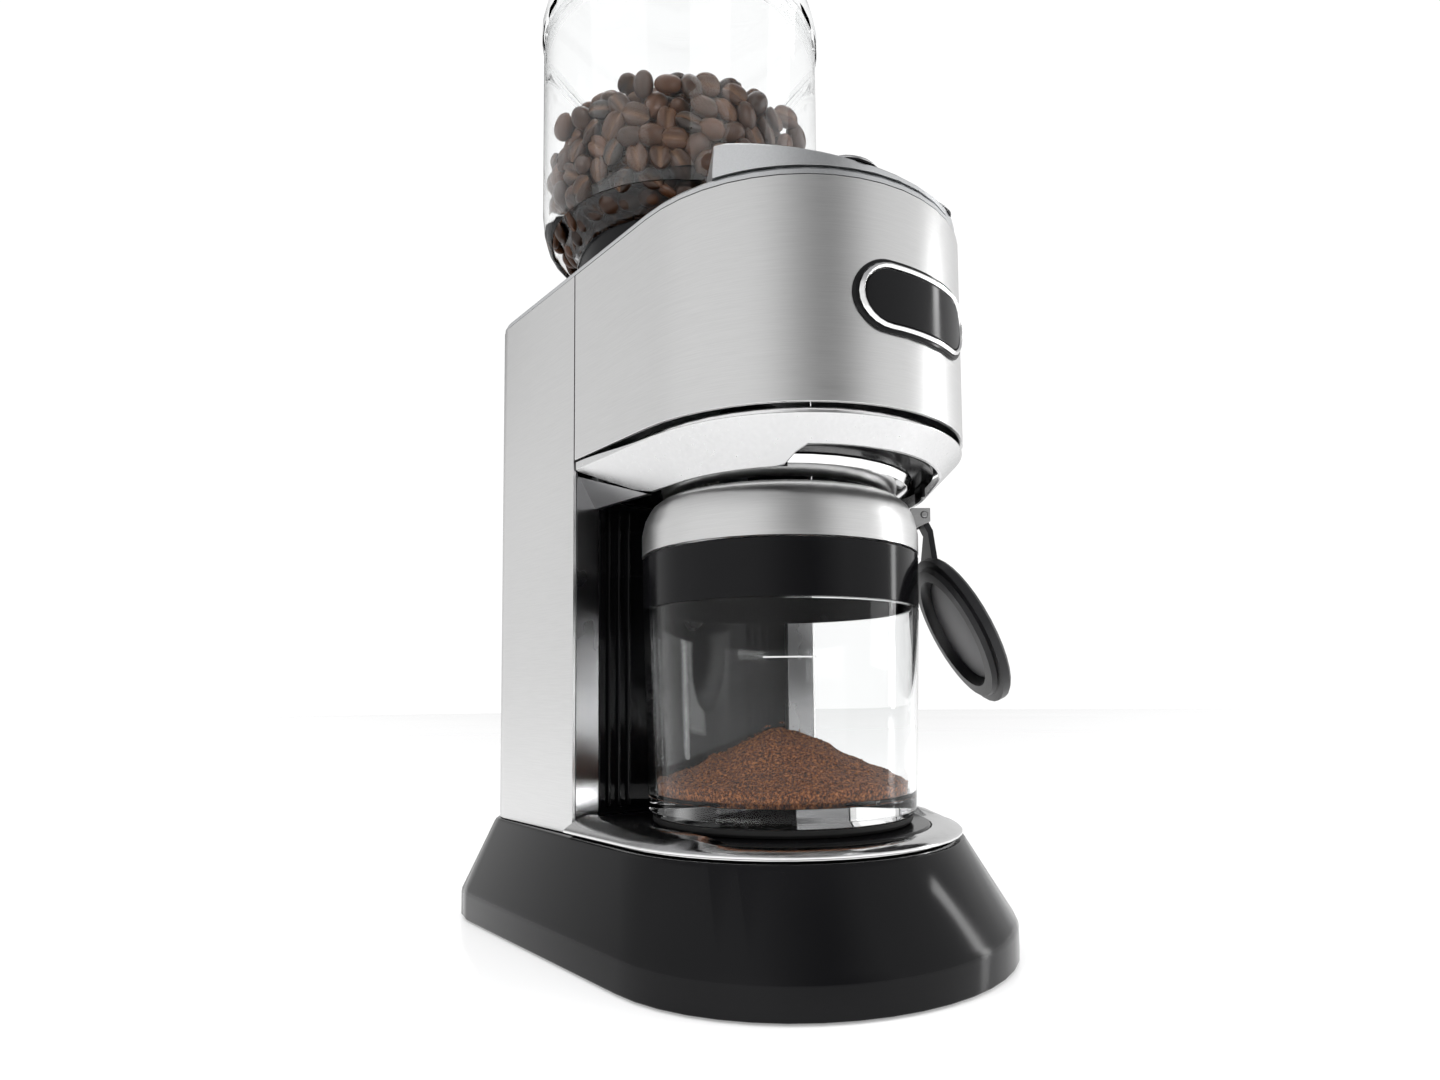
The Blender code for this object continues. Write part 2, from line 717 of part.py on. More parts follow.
def make_bevel():
    sections = []
    thickness = BEVEL_SHEET
    steps = 2 * ARC_STEPS
    for (ox, oy), (ix, iy) in zip(head_path(0.5 * MM, steps), head_path(BEVEL_INSET, steps)):
        reach = bevel_reach(ox, oy)
        away = Vector((ix - ox, iy - oy, 0)).normalized()
        top = BEVEL_TOP_Z + 2.4 * MM * blend(SEAM_Y - 50 * MM, SEAM_Y, oy)
        high = Vector((ox, oy, top))
        edge = Vector((ox, oy, BEVEL_TOP_Z - 0.4 * MM))
        low = Vector((ox, oy, BEVEL_TOP_Z)).lerp(Vector((ix, iy, BEVEL_LOW_Z)), reach)
        sections.append([high, edge, low, low + away * thickness, high + away * thickness])
    part("bevel_ring", loft(sections), "satin")


def corner_infill(side):
    """The mitred triangle that fills the corner between a column trim, the bevel and the ceiling."""
    rear = SEAM_Y + GAP + 0.5 * TRIM_THICKNESS
    high = Vector((side * (BODY_WIDTH / 2 - SHEET - 3 * GAP), rear, BEVEL_TOP_Z - 2.4 * MM))
    low = Vector((side * (CAVITY_HALF + 2.2 * MM), rear + 0.8 * TRIM_RAKE, BEVEL_LOW_Z))
    clear = BEVEL_INSET + BEVEL_SHEET + GAP
    tip = Vector((side * (BODY_WIDTH / 2 - clear), SEAM_Y - 27 * MM, BEVEL_LOW_Z + 0.4 * MM))
    corners = [high, low, tip]
    inward = Vector((-side * 2 * MM, 0, 0))
    return loft([corners, [corner + inward for corner in corners]])


def make_chute():
    """The grounds duct: forward out of the grinding chamber, then down through the collar."""
    start_y = HOPPER_Y - CHAMBER_RADIUS - 1.2 * MM
    level = CHAMBER_Z + 11.4 * MM
    drop = BEVEL_LOW_Z + 1.2 * MM
    reach = start_y - CONTAINER_Y
    bend = min(12 * MM, 0.6 * reach)
    path = [(start_y, level, 0.0), (CONTAINER_Y + bend, level, 0.0)]
    for i in range(1, 5):
        turn = math.radians(90 * i / 4)
        path.append((CONTAINER_Y + bend * (1 - math.sin(turn)), level - bend * (1 - math.cos(turn)), turn))
    path.append((CONTAINER_Y, drop, math.pi / 2))

    def ring(y, z, turn, half_width, half_height):
        up = Vector((0, -math.sin(turn), math.cos(turn)))
        loop = []
        for a in range(16):
            angle = 2 * math.pi * a / 16
            c = math.copysign(abs(math.cos(angle)) ** 0.5, math.cos(angle))
            s = math.copysign(abs(math.sin(angle)) ** 0.5, math.sin(angle))
            loop.append(Vector((half_width * c, y, z)) + up * half_height * s)
        return loop

    outer = [ring(y, z, t, CHUTE_HALF_WIDTH, CHUTE_HALF_HEIGHT) for y, z, t in path]
    width = CHUTE_HALF_WIDTH - CHUTE_WALL
    height = CHUTE_HALF_HEIGHT - CHUTE_WALL
    inner = [ring(y, z, t, width, height) for y, z, t in reversed(path)]
    part("grounds_chute", loft(outer + inner, closed=True), "matt_black")


def front_y(x, inset=0.0):
    """The y of the head's front surface at a given x."""
    half = BODY_WIDTH / 2 - inset
    nose = BODY_NOSE - inset
    return BODY_FRONT + BODY_NOSE - nose * math.sqrt(1 - (x / half) ** 2)


def badge_height(x, half_width, half_height):
    """Half the height, at a given x, of a badge with straight sides and half-round ends."""
    past = max(abs(x) - (half_width - half_height), 0.0)
    return math.sqrt(max(half_height**2 - past**2, 0.0))


def make_badge():
    middle = TOP_Z - BADGE_BELOW_TOP
    half = BADGE_HALF_WIDTH - BADGE_RIM - GAP
    height = BADGE_HALF_HEIGHT - BADGE_RIM - GAP
    sections = []
    steps = 24
    for i in range(steps + 1):
        x = -half * math.cos(math.pi * i / steps) * 0.995
        rise = max(badge_height(x, half, height), 0.4 * MM)
        back = front_y(x, -GAP)
        front = front_y(x, -BADGE_PROUD)
        section = [(x, back, middle - rise), (x, front, middle - rise), (x, front, middle + rise)]
        section.append((x, back, middle + rise))
        sections.append([Vector(p) for p in section])
    part("badge_plate", loft(sections), "gloss_black")

    crest = BADGE_PROUD + 0.8 * MM
    rim_profile = ((0, GAP), (0, BADGE_PROUD), (0.5, crest), (1, BADGE_PROUD), (1, GAP))
    rings = []
    for grow, proud in rim_profile:
        outline = badge_outline(half - height, height + GAP + grow * BADGE_RIM)
        rings.append([Vector((x, front_y(x, -proud), middle + z)) for x, z in outline])
    sections = list(zip(*rings))
    part("badge_rim", loft(sections, closed=True), "chrome")


def badge_outline(straight, radius):
    """The badge's outline: a half circle, a straight side, the other half circle and the way back."""
    right = arc(straight, 0, radius, radius, -90, 90, 12)
    side = [(straight * (1 - 2 * i / 8), radius) for i in range(1, 8)]
    half = right + side
    return half + [(-x, -z) for x, z in half]


# Top


def make_cover():
    roof = COVER_Z + COVER_HEIGHT
    skirt = [(4, 0), (0.2, 0), (0.3, 1.4), (1.2, 2.5), (3, 3.1)]
    rings = [at(body_plan(4 * MM), roof - 2 * MM)]
    rings += [at(body_plan(inset * MM), COVER_Z + rise * MM) for inset, rise in skirt]
    cover = part("top_cover", loft(rings), "silver_plastic")
    hole = ADJUST_RADIUS + 1.6 * MM
    cut(cover, rod(hole, (0, HOPPER_Y, COVER_Z - MM), (0, HOPPER_Y, roof + MM), ROUND))
    for _, x, from_front, radius in buttons():
        cut(cover, button_well(x, from_front, radius))


def panel_height(y):
    """The sloping top of the control panel."""
    share = min(max((y - BODY_FRONT) / PANEL_SLOPE_LENGTH, 0.0), 1.0)
    return PANEL_Z + PANEL_FRONT_RISE + (PANEL_BACK_RISE - PANEL_FRONT_RISE) * share


def outline_distance(angle, inset):
    """Distance from the hopper's axis to the head's front outline, at an angle from straight ahead."""
    low = 0.0
    high = BASE_DEPTH
    half = BODY_WIDTH / 2 - inset
    nose = BODY_NOSE - inset
    nose_y = BODY_FRONT + BODY_NOSE
    for _ in range(40):
        middle = (low + high) / 2
        x = middle * math.sin(angle)
        y = HOPPER_Y - middle * math.cos(angle)
        depth = max(nose_y - y, 0.0)
        inside = (x / half) ** 2 + (depth / nose) ** 2 < 1
        if inside:
            low = middle
        else:
            high = middle
    return low


def make_control_panel():
    steps = 24
    rear = HOPPER_RADIUS + PANEL_HOPPER_MARGIN
    sections = []
    for i in range(steps + 1):
        share = -math.cos(math.pi * i / steps)
        angle = PANEL_HALF_ANGLE * share
        front = outline_distance(angle, 1.2 * MM)
        height = 0.25 if i in (0, steps) else 1.0

        def point(distance, z):
            lowered = PANEL_Z + (z - PANEL_Z) * height
            return Vector((distance * math.sin(angle), HOPPER_Y - distance * math.cos(angle), lowered))

        def top(distance):
            return panel_height(HOPPER_Y - distance * math.cos(angle))

        ridge = (HOPPER_Y - BODY_FRONT - PANEL_SLOPE_LENGTH) / math.cos(angle)
        ridge = min(max(ridge, rear + 2 * MM), front - 3 * MM)
        sections.append(
            [
                point(front, PANEL_Z),
                point(front, top(front) - 0.7 * MM),
                point(front - 0.9 * MM, top(front - 0.9 * MM)),
                point(ridge, top(ridge)),
                point(rear + 1 * MM, top(rear)),
                point(rear, top(rear) - 1 * MM),
                point(rear, PANEL_Z),
            ]
        )
    panel = part("control_panel", loft(sections), "silver_plastic")
    cutters = [button_well(x, from_front, radius) for _, x, from_front, radius in buttons()]
    y = BODY_FRONT + DISPLAY_FROM_FRONT
    cutters.append(sloped_block(DISPLAY_HALF_WIDTH + GAP, DISPLAY_HALF_DEPTH + GAP, y, -1.5 * MM, 6 * MM))
    cut(panel, merged(*cutters))
    window = sloped_block(DISPLAY_HALF_WIDTH, DISPLAY_HALF_DEPTH, y, -1.5 * MM + GAP, 0.2 * MM)
    part("display_window", window, "gloss_black")


def slope_frame(y):
    """A point on the panel's slope, and the slope's two directions."""
    angle = math.atan2(PANEL_BACK_RISE - PANEL_FRONT_RISE, PANEL_SLOPE_LENGTH)
    along = Vector((0, math.cos(angle), math.sin(angle)))
    normal = Vector((0, -math.sin(angle), math.cos(angle)))
    rise = (y - BODY_FRONT) * math.tan(angle)
    return Vector((0, y, PANEL_Z + PANEL_FRONT_RISE + rise)), along, normal


def sloped_block(half_width, half_depth, y, low, high):
    centre, along, normal = slope_frame(y)
    corners = ((-1, -1), (1, -1), (1, 1), (-1, 1))
    loops = []
    for level in (low, high):
        loop = []
        for sx, sy in corners:
            loop.append(centre + Vector((sx * half_width, 0, 0)) + along * sy * half_depth + normal * level)
        loops.append(loop)
    return loft(loops)


def buttons():
    """Name, place on the slope and radius of each button."""
    return (
        ("start_button", -MAIN_BUTTON_X, BUTTON_FROM_FRONT, MAIN_BUTTON_RADIUS),
        ("select_button", MAIN_BUTTON_X, BUTTON_FROM_FRONT, MAIN_BUTTON_RADIUS),
        ("minus_button", -SMALL_BUTTON_X, SMALL_BUTTON_FROM_FRONT, SMALL_BUTTON_RADIUS),
        ("plus_button", SMALL_BUTTON_X, SMALL_BUTTON_FROM_FRONT, SMALL_BUTTON_RADIUS),
    )


def button_frame(x, from_front):
    centre, _, normal = slope_frame(BODY_FRONT + from_front)
    return centre + Vector((x, 0, 0)), normal


def button_well(x, from_front, radius):
    centre, normal = button_frame(x, from_front)
    depth = BUTTON_HEIGHT - BUTTON_PROUD + BUTTON_TRAVEL + GAP
    return rod(radius + GAP, centre - normal * depth, centre + normal * 9 * MM)


def make_buttons():
    for name, x, from_front, radius in buttons():
        centre, normal = button_frame(x, from_front)
        empty = pivot("joint_" + name, centre)
        low = centre - normal * (BUTTON_HEIGHT - BUTTON_PROUD)
        bm = rod(radius, low, centre + normal * BUTTON_PROUD)
        top = max(bm.faces, key=lambda face: face.calc_center_median().dot(normal))
        bmesh.ops.bevel(bm, geom=list(top.edges), offset=0.6 * MM, segments=1, affect="EDGES")
        part(name, bm, "satin", empty)


def make_control_board():
    y = BODY_FRONT + BUTTON_FROM_FRONT
    z = TOP_Z - 8 * MM
    board = block(-30 * MM, 30 * MM, y + 2 * MM, y + 34 * MM, z, z + 1.6 * MM)
    part("control_board", board, "green")


# Hopper


def facet_ring(radius, z):
    """A ring whose points lie on a regular polygon of FUNNEL_SIDES sides."""
    slice_angle = 2 * math.pi / FUNNEL_SIDES
    loop = []
    for i in range(ROUND):
        a = 2 * math.pi * i / ROUND
        off = a % slice_angle - slice_angle / 2
        r = radius * math.cos(slice_angle / 2) / math.cos(off)
        loop.append(Vector((r * math.cos(a), HOPPER_Y + r * math.sin(a), z)))
    return loop


def round_ring(radius, z):
    return at(circle(radius, HOPPER_Y), z)


def make_hopper():
    ring = pivot("joint_adjust_ring", (0, HOPPER_Y, ADJUST_Z))
    inner = ADJUST_RADIUS - ADJUST_WALL
    low = TOP_Z - 2.5 * MM
    profile = [
        (inner, low),
        (ADJUST_RADIUS - 1.2 * MM, low),
        (ADJUST_RADIUS, low + 5 * MM),
        (ADJUST_RADIUS, ADJUST_Z - 1 * MM),
        (ADJUST_RADIUS - 0.8 * MM, ADJUST_Z),
        (inner + 0.4 * MM, ADJUST_Z),
        (inner, ADJUST_Z - 1 * MM),
    ]
    part("adjust_ring", lathe(profile, HOPPER_Y), "gloss_black", ring)

    hopper = pivot("joint_hopper", (0, HOPPER_Y, ADJUST_Z))
    r = HOPPER_RADIUS
    top = HOPPER_TOP_Z
    wall_inner = r - HOPPER_WALL
    profile = [
        (r - 0.4 * MM, top),
        (r, top - 1.5 * MM),
        (r, HOPPER_Z + 14 * MM),
        (r - 0.8 * MM, HOPPER_Z + 5 * MM),
        (r - 2 * MM, HOPPER_Z + 1.2 * MM),
        (r - 3.4 * MM, HOPPER_Z),
        (r - 4.2 * MM, HOPPER_Z + 1 * MM),
        (wall_inner - 1 * MM, HOPPER_Z + 6 * MM),
        (wall_inner, HOPPER_Z + 14 * MM),
        (wall_inner, top - 1.5 * MM),
        (wall_inner + 0.4 * MM, top),
    ]
    part("bean_hopper", lathe(profile, HOPPER_Y), "clear", hopper)

    rim = wall_inner - 1.5 * MM - GAP
    mouth = ADJUST_RADIUS - 0.5 * MM
    neck = inner - RUN
    wall_thickness = 1.5 * MM
    neck_low = TOP_Z + 4 * MM
    rim_z = HOPPER_Z + 6.9 * MM
    rings = [
        facet_ring(rim, rim_z),
        facet_ring(mouth, FUNNEL_Z),
        round_ring(neck, FUNNEL_Z - 0.9 * MM),
        round_ring(neck, neck_low),
        round_ring(neck - wall_thickness, neck_low),
        round_ring(neck - wall_thickness, FUNNEL_Z),
        facet_ring(mouth - 1.6 * MM, FUNNEL_Z + 1.2 * MM),
        facet_ring(rim - 1.6 * MM, rim_z + 0.4 * MM),
    ]
    part("hopper_funnel", loft(rings, closed=True), "smoke", hopper)
    make_hopper_lid(wall_inner, top)


def make_hopper_lid(wall_inner, top):
    lid = pivot("joint_hopper_lid", (0, HOPPER_Y, top))
    r = HOPPER_RADIUS + 0.8 * MM
    plug = wall_inner - 2.4 * MM
    crown = top + LID_RISE
    profile = [
        (17 * MM, crown - 3 * MM),
        (22 * MM, crown),
        (r - 5.5 * MM, crown),
        (r - 3.4 * MM, crown - 2.2 * MM),
        (r, top + 4.5 * MM),
        (r, top + GAP),
        (plug, top + GAP),
        (plug, top - 7 * MM),
        (plug - 1.6 * MM, top - 7 * MM),
        (plug - 1.6 * MM, top + 2 * MM),
        (r - 6 * MM, crown - 1.8 * MM),
        (22 * MM, crown - 1.8 * MM),
        (17 * MM, crown - 4.8 * MM),
    ]
    part("hopper_lid", lathe(profile, HOPPER_Y, closed=False), "smoke", lid)
    seal_outer = wall_inner - GAP
    seal = [
        (plug + GAP, top - 5 * MM),
        (seal_outer - 0.4 * MM, top - 5 * MM),
        (seal_outer, top - 3.6 * MM),
        (seal_outer - 0.4 * MM, top - 2.2 * MM),
        (plug + GAP, top - 2.2 * MM),
    ]
    part("hopper_lid_seal", lathe(seal, HOPPER_Y), "rubber", lid)


# Container


def make_container():
    slide = pivot("joint_container", (0, CONTAINER_Y, JAR_Z))
    r = CONTAINER_RADIUS
    foot = r - JAR_TAPER
    base_ring = [
        (foot - 6 * MM, JAR_Z),
        (foot - 2.4 * MM, JAR_Z),
        (foot - 1.4 * MM, JAR_Z + 1 * MM),
        (foot - 1.4 * MM, JAR_Z + 2.6 * MM),
        (foot - 6 * MM, JAR_Z + 2.6 * MM),
    ]
    part("container_base_ring", lathe(base_ring, CONTAINER_Y), "rubber", slide)

    low = JAR_Z + 2.6 * MM + GAP
    jar = [
        (foot - JAR_WALL - 2 * MM, low + JAR_FLOOR),
        (foot - JAR_WALL, low + JAR_FLOOR + 2 * MM),
        (r - JAR_WALL - 0.3 * MM, LIP_Z),
        (r - 0.3 * MM, LIP_Z),
        (foot, low + 2 * MM),
        (foot - 1.8 * MM, low),
    ]
    part("container_jar", lathe(jar, CONTAINER_Y, closed=False), "clear", slide)

    skirt_low = LIP_Z + GAP
    inner = r - JAR_WALL - 0.4 * MM
    skirt = [
        (inner, skirt_low),
        (r - 0.3 * MM, skirt_low),
        (r - 0.1 * MM, SEAM_Z - 0.8 * MM),
        (r - 1 * MM, SEAM_Z - GAP),
        (inner, SEAM_Z - GAP),
    ]
    part("cap_skirt", lathe(skirt, CONTAINER_Y), "gloss_black", slide)

    cap = part("container_cap", lathe(cap_profile(), CONTAINER_Y), "steel", slide)
    make_lid(cap, slide)


def cap_profile():
    """The domed steel cap: up its outside, in to the filling opening and back down its inside."""
    r = CONTAINER_RADIUS
    t = CAP_WALL
    top = CAP_TOP_Z
    outside = [
        (r, SEAM_Z),
        (r, top - 11.6 * MM),
        (r - 1.2 * MM, top - 6.4 * MM),
        (r - 3.2 * MM, top - 2.4 * MM),
        (r - 5.4 * MM, top - 0.5 * MM),
        (r - 8 * MM, top),
    ]
    opening = [(CAP_OPENING, top), (CAP_OPENING, top - t)]
    inside = [(radius - t, z - (t if z > top - 3 * MM else 0)) for radius, z in reversed(outside)]
    return outside + opening + inside


def lid_directions():
    """Outward, sideways, down the hanging disc, and out of its face."""
    out = Vector((math.cos(LID_AZIMUTH), math.sin(LID_AZIMUTH), 0))
    side = Vector((-out.y, out.x, 0))
    down = out * math.sin(LID_TILT) - Vector((0, 0, 1)) * math.cos(LID_TILT)
    face = out * math.cos(LID_TILT) + Vector((0, 0, 1)) * math.sin(LID_TILT)
    return out, side, down, face


def lid_hinge():
    out = lid_directions()[0]
    reach = CONTAINER_RADIUS + LID_HINGE_OUT
    return Vector((0, CONTAINER_Y, CAP_TOP_Z - LID_HINGE_DROP)) + out * reach


def disc_profile(profile, centre, side, down, face, steps, closed):
    """A turned body whose axis is the lid's face direction."""
    rings = []
    for radius, rise in profile:
        loop = []
        for i in range(steps):
            a = 2 * math.pi * i / steps
            loop.append(centre + face * rise + radius * (math.cos(a) * side + math.sin(a) * down))
        rings.append(loop)
    return loft(rings, closed)


def make_lid(cap, slide):
    out, side, down, face = lid_directions()
    hinge = lid_hinge()
    swing = pivot("joint_container_lid", hinge)
    set_back = LID_HINGE_DROP + LID_THICKNESS / 2 + GAP
    centre = hinge + down * LID_ARM - face * set_back
    r = LID_RADIUS
    half = LID_THICKNESS / 2
    rim = [
        (r - 9 * MM, -half + 1.6 * MM),
        (r - 7.6 * MM, -half - 0.6 * MM),
        (r - 3.4 * MM, -half - 0.4 * MM),
        (r - 2.8 * MM, -half + 1.4 * MM),
        (r, -half + 1.8 * MM),
        (r, half - 1 * MM),
        (r - 1 * MM, half),
        (r - 9 * MM, half),
    ]
    ring = disc_profile(rim, centre, side, down, face, ROUND, True)
    body = part("container_lid", ring, "matt_black", swing)

    arm_half = 3.6 * MM
    barrel = LID_PIN_RADIUS + 1.4 * MM
    root = centre - down * (r - 3 * MM) + face * 1 * MM
    neck = hinge + down * 6.5 * MM
    strip = []
    ends = [(hinge + down * 0.4 * MM, arm_half), (neck, arm_half), (root, 2.6 * arm_half)]
    for place, wide in ends:
        strip.append(
            [
                place - side * wide - face * 1.1 * MM,
                place + side * wide - face * 1.1 * MM,
                place + side * wide + face * 1.1 * MM,
                place - side * wide + face * 1.1 * MM,
            ]
        )
    join(body, loft(strip))
    join(body, rod(barrel, hinge - side * arm_half, hinge + side * arm_half, 16))
    cut(body, rod(LID_PIN_RADIUS + GAP, hinge - side * 12 * MM, hinge + side * 12 * MM, 16))

    liner_reach = r - 9 * MM - GAP
    liner = [
        (liner_reach - 1.1 * MM, -half + 2.6 * MM),
        (liner_reach, -half + 3 * MM),
        (liner_reach, half - 0.4 * MM),
        (liner_reach - 1.1 * MM, half - 0.2 * MM),
    ]
    part("lid_liner", disc_profile(liner, centre, side, down, face, ROUND, False), "grey", swing)

    pin_half = arm_half + RUN + 2.8 * MM
    pin = rod(LID_PIN_RADIUS, hinge - side * pin_half, hinge + side * pin_half, 16)
    part("lid_hinge_pin", pin, "steel", slide)

    lugs = []
    inner_reach = -out * 4.8 * MM
    for sign in (1, -1):
        near = hinge + side * sign * (arm_half + RUN)
        far = near + side * sign * 2.4 * MM
        loops = []
        for place in (near, far):
            loops.append(
                [
                    place + out * barrel * 0.9 + Vector((0, 0, barrel)),
                    place + inner_reach + Vector((0, 0, barrel)),
                    place + inner_reach - Vector((0, 0, 2.2 * barrel)),
                    place + out * barrel * 0.9 - Vector((0, 0, barrel)),
                ]
            )
        lugs.append(loft(loops))
    join(cap, merged(*lugs))
    cut(cap, rod(LID_PIN_RADIUS + GAP, hinge - side * 12 * MM, hinge + side * 12 * MM, 16))


# Drive and burrs


def gear_plan(teeth, centre_y, shift):
    """A spur gear's outline with straight-sided teeth."""
    pitch = GEAR_MODULE * teeth / 2
    root = pitch - 1.25 * GEAR_MODULE
    tip = pitch + GEAR_MODULE - MESH_CLEARANCE
    points = []
    for i in range(teeth):
        start = 2 * math.pi * (i + shift) / teeth
        for share, radius in ((-0.30, root), (-0.14, tip), (0.14, tip), (0.30, root)):
            a = start + 2 * math.pi * share / teeth
            points.append((radius * math.cos(a), centre_y + radius * math.sin(a)))
    return points


def bore(obj, centre_y, radius, low, high):
    """Cuts a round bore through an object."""
    cut(obj, rod(radius, (0, centre_y, low - MM), (0, centre_y, high + MM)))


def make_drive():
    half = BODY_WIDTH / 2 - 7 * MM
    back = BODY_BACK - 6 * MM
    front = HOPPER_Y - GEAR_MODULE * GEAR_TEETH / 2 - 3 * MM
    posts = [(half - 5 * MM, front + 5 * MM), (5 * MM - half, back - 5 * MM)]
    deck = block(-half, half, front, back, GEAR_DECK_Z, GEAR_DECK_Z + DECK_PLATE)
    deck_object = part("gear_deck", deck, "burr_steel")
    shaft_hole = rod(4 * MM, (0, MOTOR_Y, GEAR_DECK_Z - MM), (0, MOTOR_Y, GEAR_DECK_Z + 5 * MM))
    seat = rod(BEARING_RADIUS + GAP, (0, HOPPER_Y, GEAR_DECK_Z - MM), (0, HOPPER_Y, GEAR_DECK_Z + 5 * MM))
    holes = [rod(SHANK_RADIUS + GAP, (x, y, GEAR_DECK_Z - MM), (x, y, GEAR_Z), 12) for x, y in posts]
    cut(deck_object, merged(shaft_hole, seat, *holes))

    cover = block(-half, half, front, back, GEAR_COVER_Z, GEAR_COVER_Z + DECK_PLATE)
    cover_object = part("gear_cover", cover, "burr_steel")
    post_low = GEAR_DECK_Z + DECK_PLATE + GAP
    post_high = GEAR_COVER_Z + 0.5 * DECK_PLATE
    join(cover_object, merged(*[rod(3.2 * MM, (x, y, post_low), (x, y, post_high), 12) for x, y in posts]))
    shaft_way = rod(SPINDLE_RADIUS + RUN, (0, HOPPER_Y, GEAR_Z), (0, HOPPER_Y, GEAR_COVER_Z + 5 * MM))
    high = GEAR_COVER_Z + 5 * MM
    holes = [rod(SHANK_RADIUS + GAP, (x, y, GEAR_DECK_Z), (x, y, high), 12) for x, y in posts]
    cut(cover_object, merged(shaft_way, *holes))

    for i, (x, y) in enumerate(posts):
        head = GEAR_COVER_Z + DECK_PLATE + GAP
        profile = [
            (SHANK_RADIUS, GEAR_DECK_Z + GAP),
            (SHANK_RADIUS, head),
            (2.8 * MM, head),
            (2.8 * MM, head + 1.4 * MM),
            (2.2 * MM, head + 2 * MM),
        ]
        part(f"gearbox_screw_{i + 1}", lathe(profile, y, 12, False, x), "steel")

    top = GEAR_DECK_Z - GAP
    can = [
        (8 * MM, top - MOTOR_HEIGHT),
        (MOTOR_RADIUS - 3 * MM, top - MOTOR_HEIGHT),
        (MOTOR_RADIUS, top - MOTOR_HEIGHT + 3 * MM),
        (MOTOR_RADIUS, top - 2 * MM),
        (MOTOR_RADIUS - 2 * MM, top),
        (2.6 * MM, top),
        (2.6 * MM, top - 12 * MM),
    ]
    part("motor_can", lathe(can, MOTOR_Y, 32, False), "steel")

    make_gears()
    make_bearings()
    make_chamber()
    make_burrs()


def make_gears():
    motor = pivot("joint_motor", (0, MOTOR_Y, GEAR_Z))
    shaft = [(2.2 * MM, GEAR_DECK_Z - 9 * MM), (2.2 * MM, GEAR_COVER_Z - RUN)]
    part("motor_shaft", lathe(shaft, MOTOR_Y, 16, False), "steel", motor)
    high = GEAR_Z + GEAR_WIDTH
    plan = gear_plan(PINION_TEETH, MOTOR_Y, 0.25 * PINION_TEETH + 0.5)
    pinion = part("motor_pinion", prism(plan, GEAR_Z, high), "brass", motor)
    bore(pinion, MOTOR_Y, 2.2 * MM + GAP, GEAR_Z, high)

    drive = pivot("joint_spindle", (0, HOPPER_Y, GEAR_Z))
    plan = gear_plan(GEAR_TEETH, HOPPER_Y, 0.25 * GEAR_TEETH)
    gear = part("drive_gear", prism(plan, GEAR_Z, high), "nylon", drive)
    bore(gear, HOPPER_Y, SPINDLE_RADIUS + GAP, GEAR_Z, high)
    spindle = [
        (SPINDLE_RADIUS, GEAR_DECK_Z),
        (SPINDLE_RADIUS, burr_top() + 1 * MM),
        (SPINDLE_RADIUS - 2 * MM, burr_top() + 3 * MM),
    ]
    part("spindle", lathe(spindle, HOPPER_Y, 20, False), "steel", drive)


def make_bearings():
    for name, low in (("lower_bearing", GEAR_DECK_Z), ("upper_bearing", CHAMBER_Z)):
        ring = [
            (SPINDLE_RADIUS + GAP, low),
            (BEARING_RADIUS, low),
            (BEARING_RADIUS, low + DECK_PLATE),
            (SPINDLE_RADIUS + GAP, low + DECK_PLATE),
        ]
        part(name, lathe(ring, HOPPER_Y, SMALL_ROUND), "steel")


def burr_top():
    return TOP_Z - 15 * MM


def burr_low():
    return CHAMBER_Z + 21 * MM


def make_chamber():
    r = CHAMBER_RADIUS
    inner = r - CHAMBER_WALL
    top = TOP_Z - 4.5 * MM
    profile = [
        (BEARING_RADIUS + GAP, CHAMBER_Z),
        (r, CHAMBER_Z),
        (r, top),
        (inner, top),
        (inner, CHAMBER_Z + 2.8 * MM),
        (BEARING_RADIUS + GAP, CHAMBER_Z + 2.8 * MM),
    ]
    chamber = part("grinding_chamber", lathe(profile, HOPPER_Y), "burr_steel")
    level = CHAMBER_Z + 11.4 * MM
    half = CHUTE_HALF_WIDTH - CHUTE_WALL
    rise = CHUTE_HALF_HEIGHT - CHUTE_WALL
    window = block(-half, half, HOPPER_Y - r - 4 * MM, HOPPER_Y - inner + 8 * MM, level - rise, level + rise)
    cut(chamber, window)


def burr_ring(radius, z, teeth, depth, twist):
    """A toothed ring of a burr, turned a little with its height."""
    count = teeth * 3
    loop = []
    for i in range(count):
        a = 2 * math.pi * i / count + twist
        r = radius - depth * (0.0, 0.35, 1.0)[i % 3]
        loop.append(Vector((r * math.cos(a), HOPPER_Y + r * math.sin(a), z)))
    return loop


def plain_ring(radius, z, count, twist=0.0):
    turn = 2 * math.pi / count
    return [
        Vector((radius * math.cos(turn * i + twist), HOPPER_Y + radius * math.sin(turn * i + twist), z))
        for i in range(count)
    ]


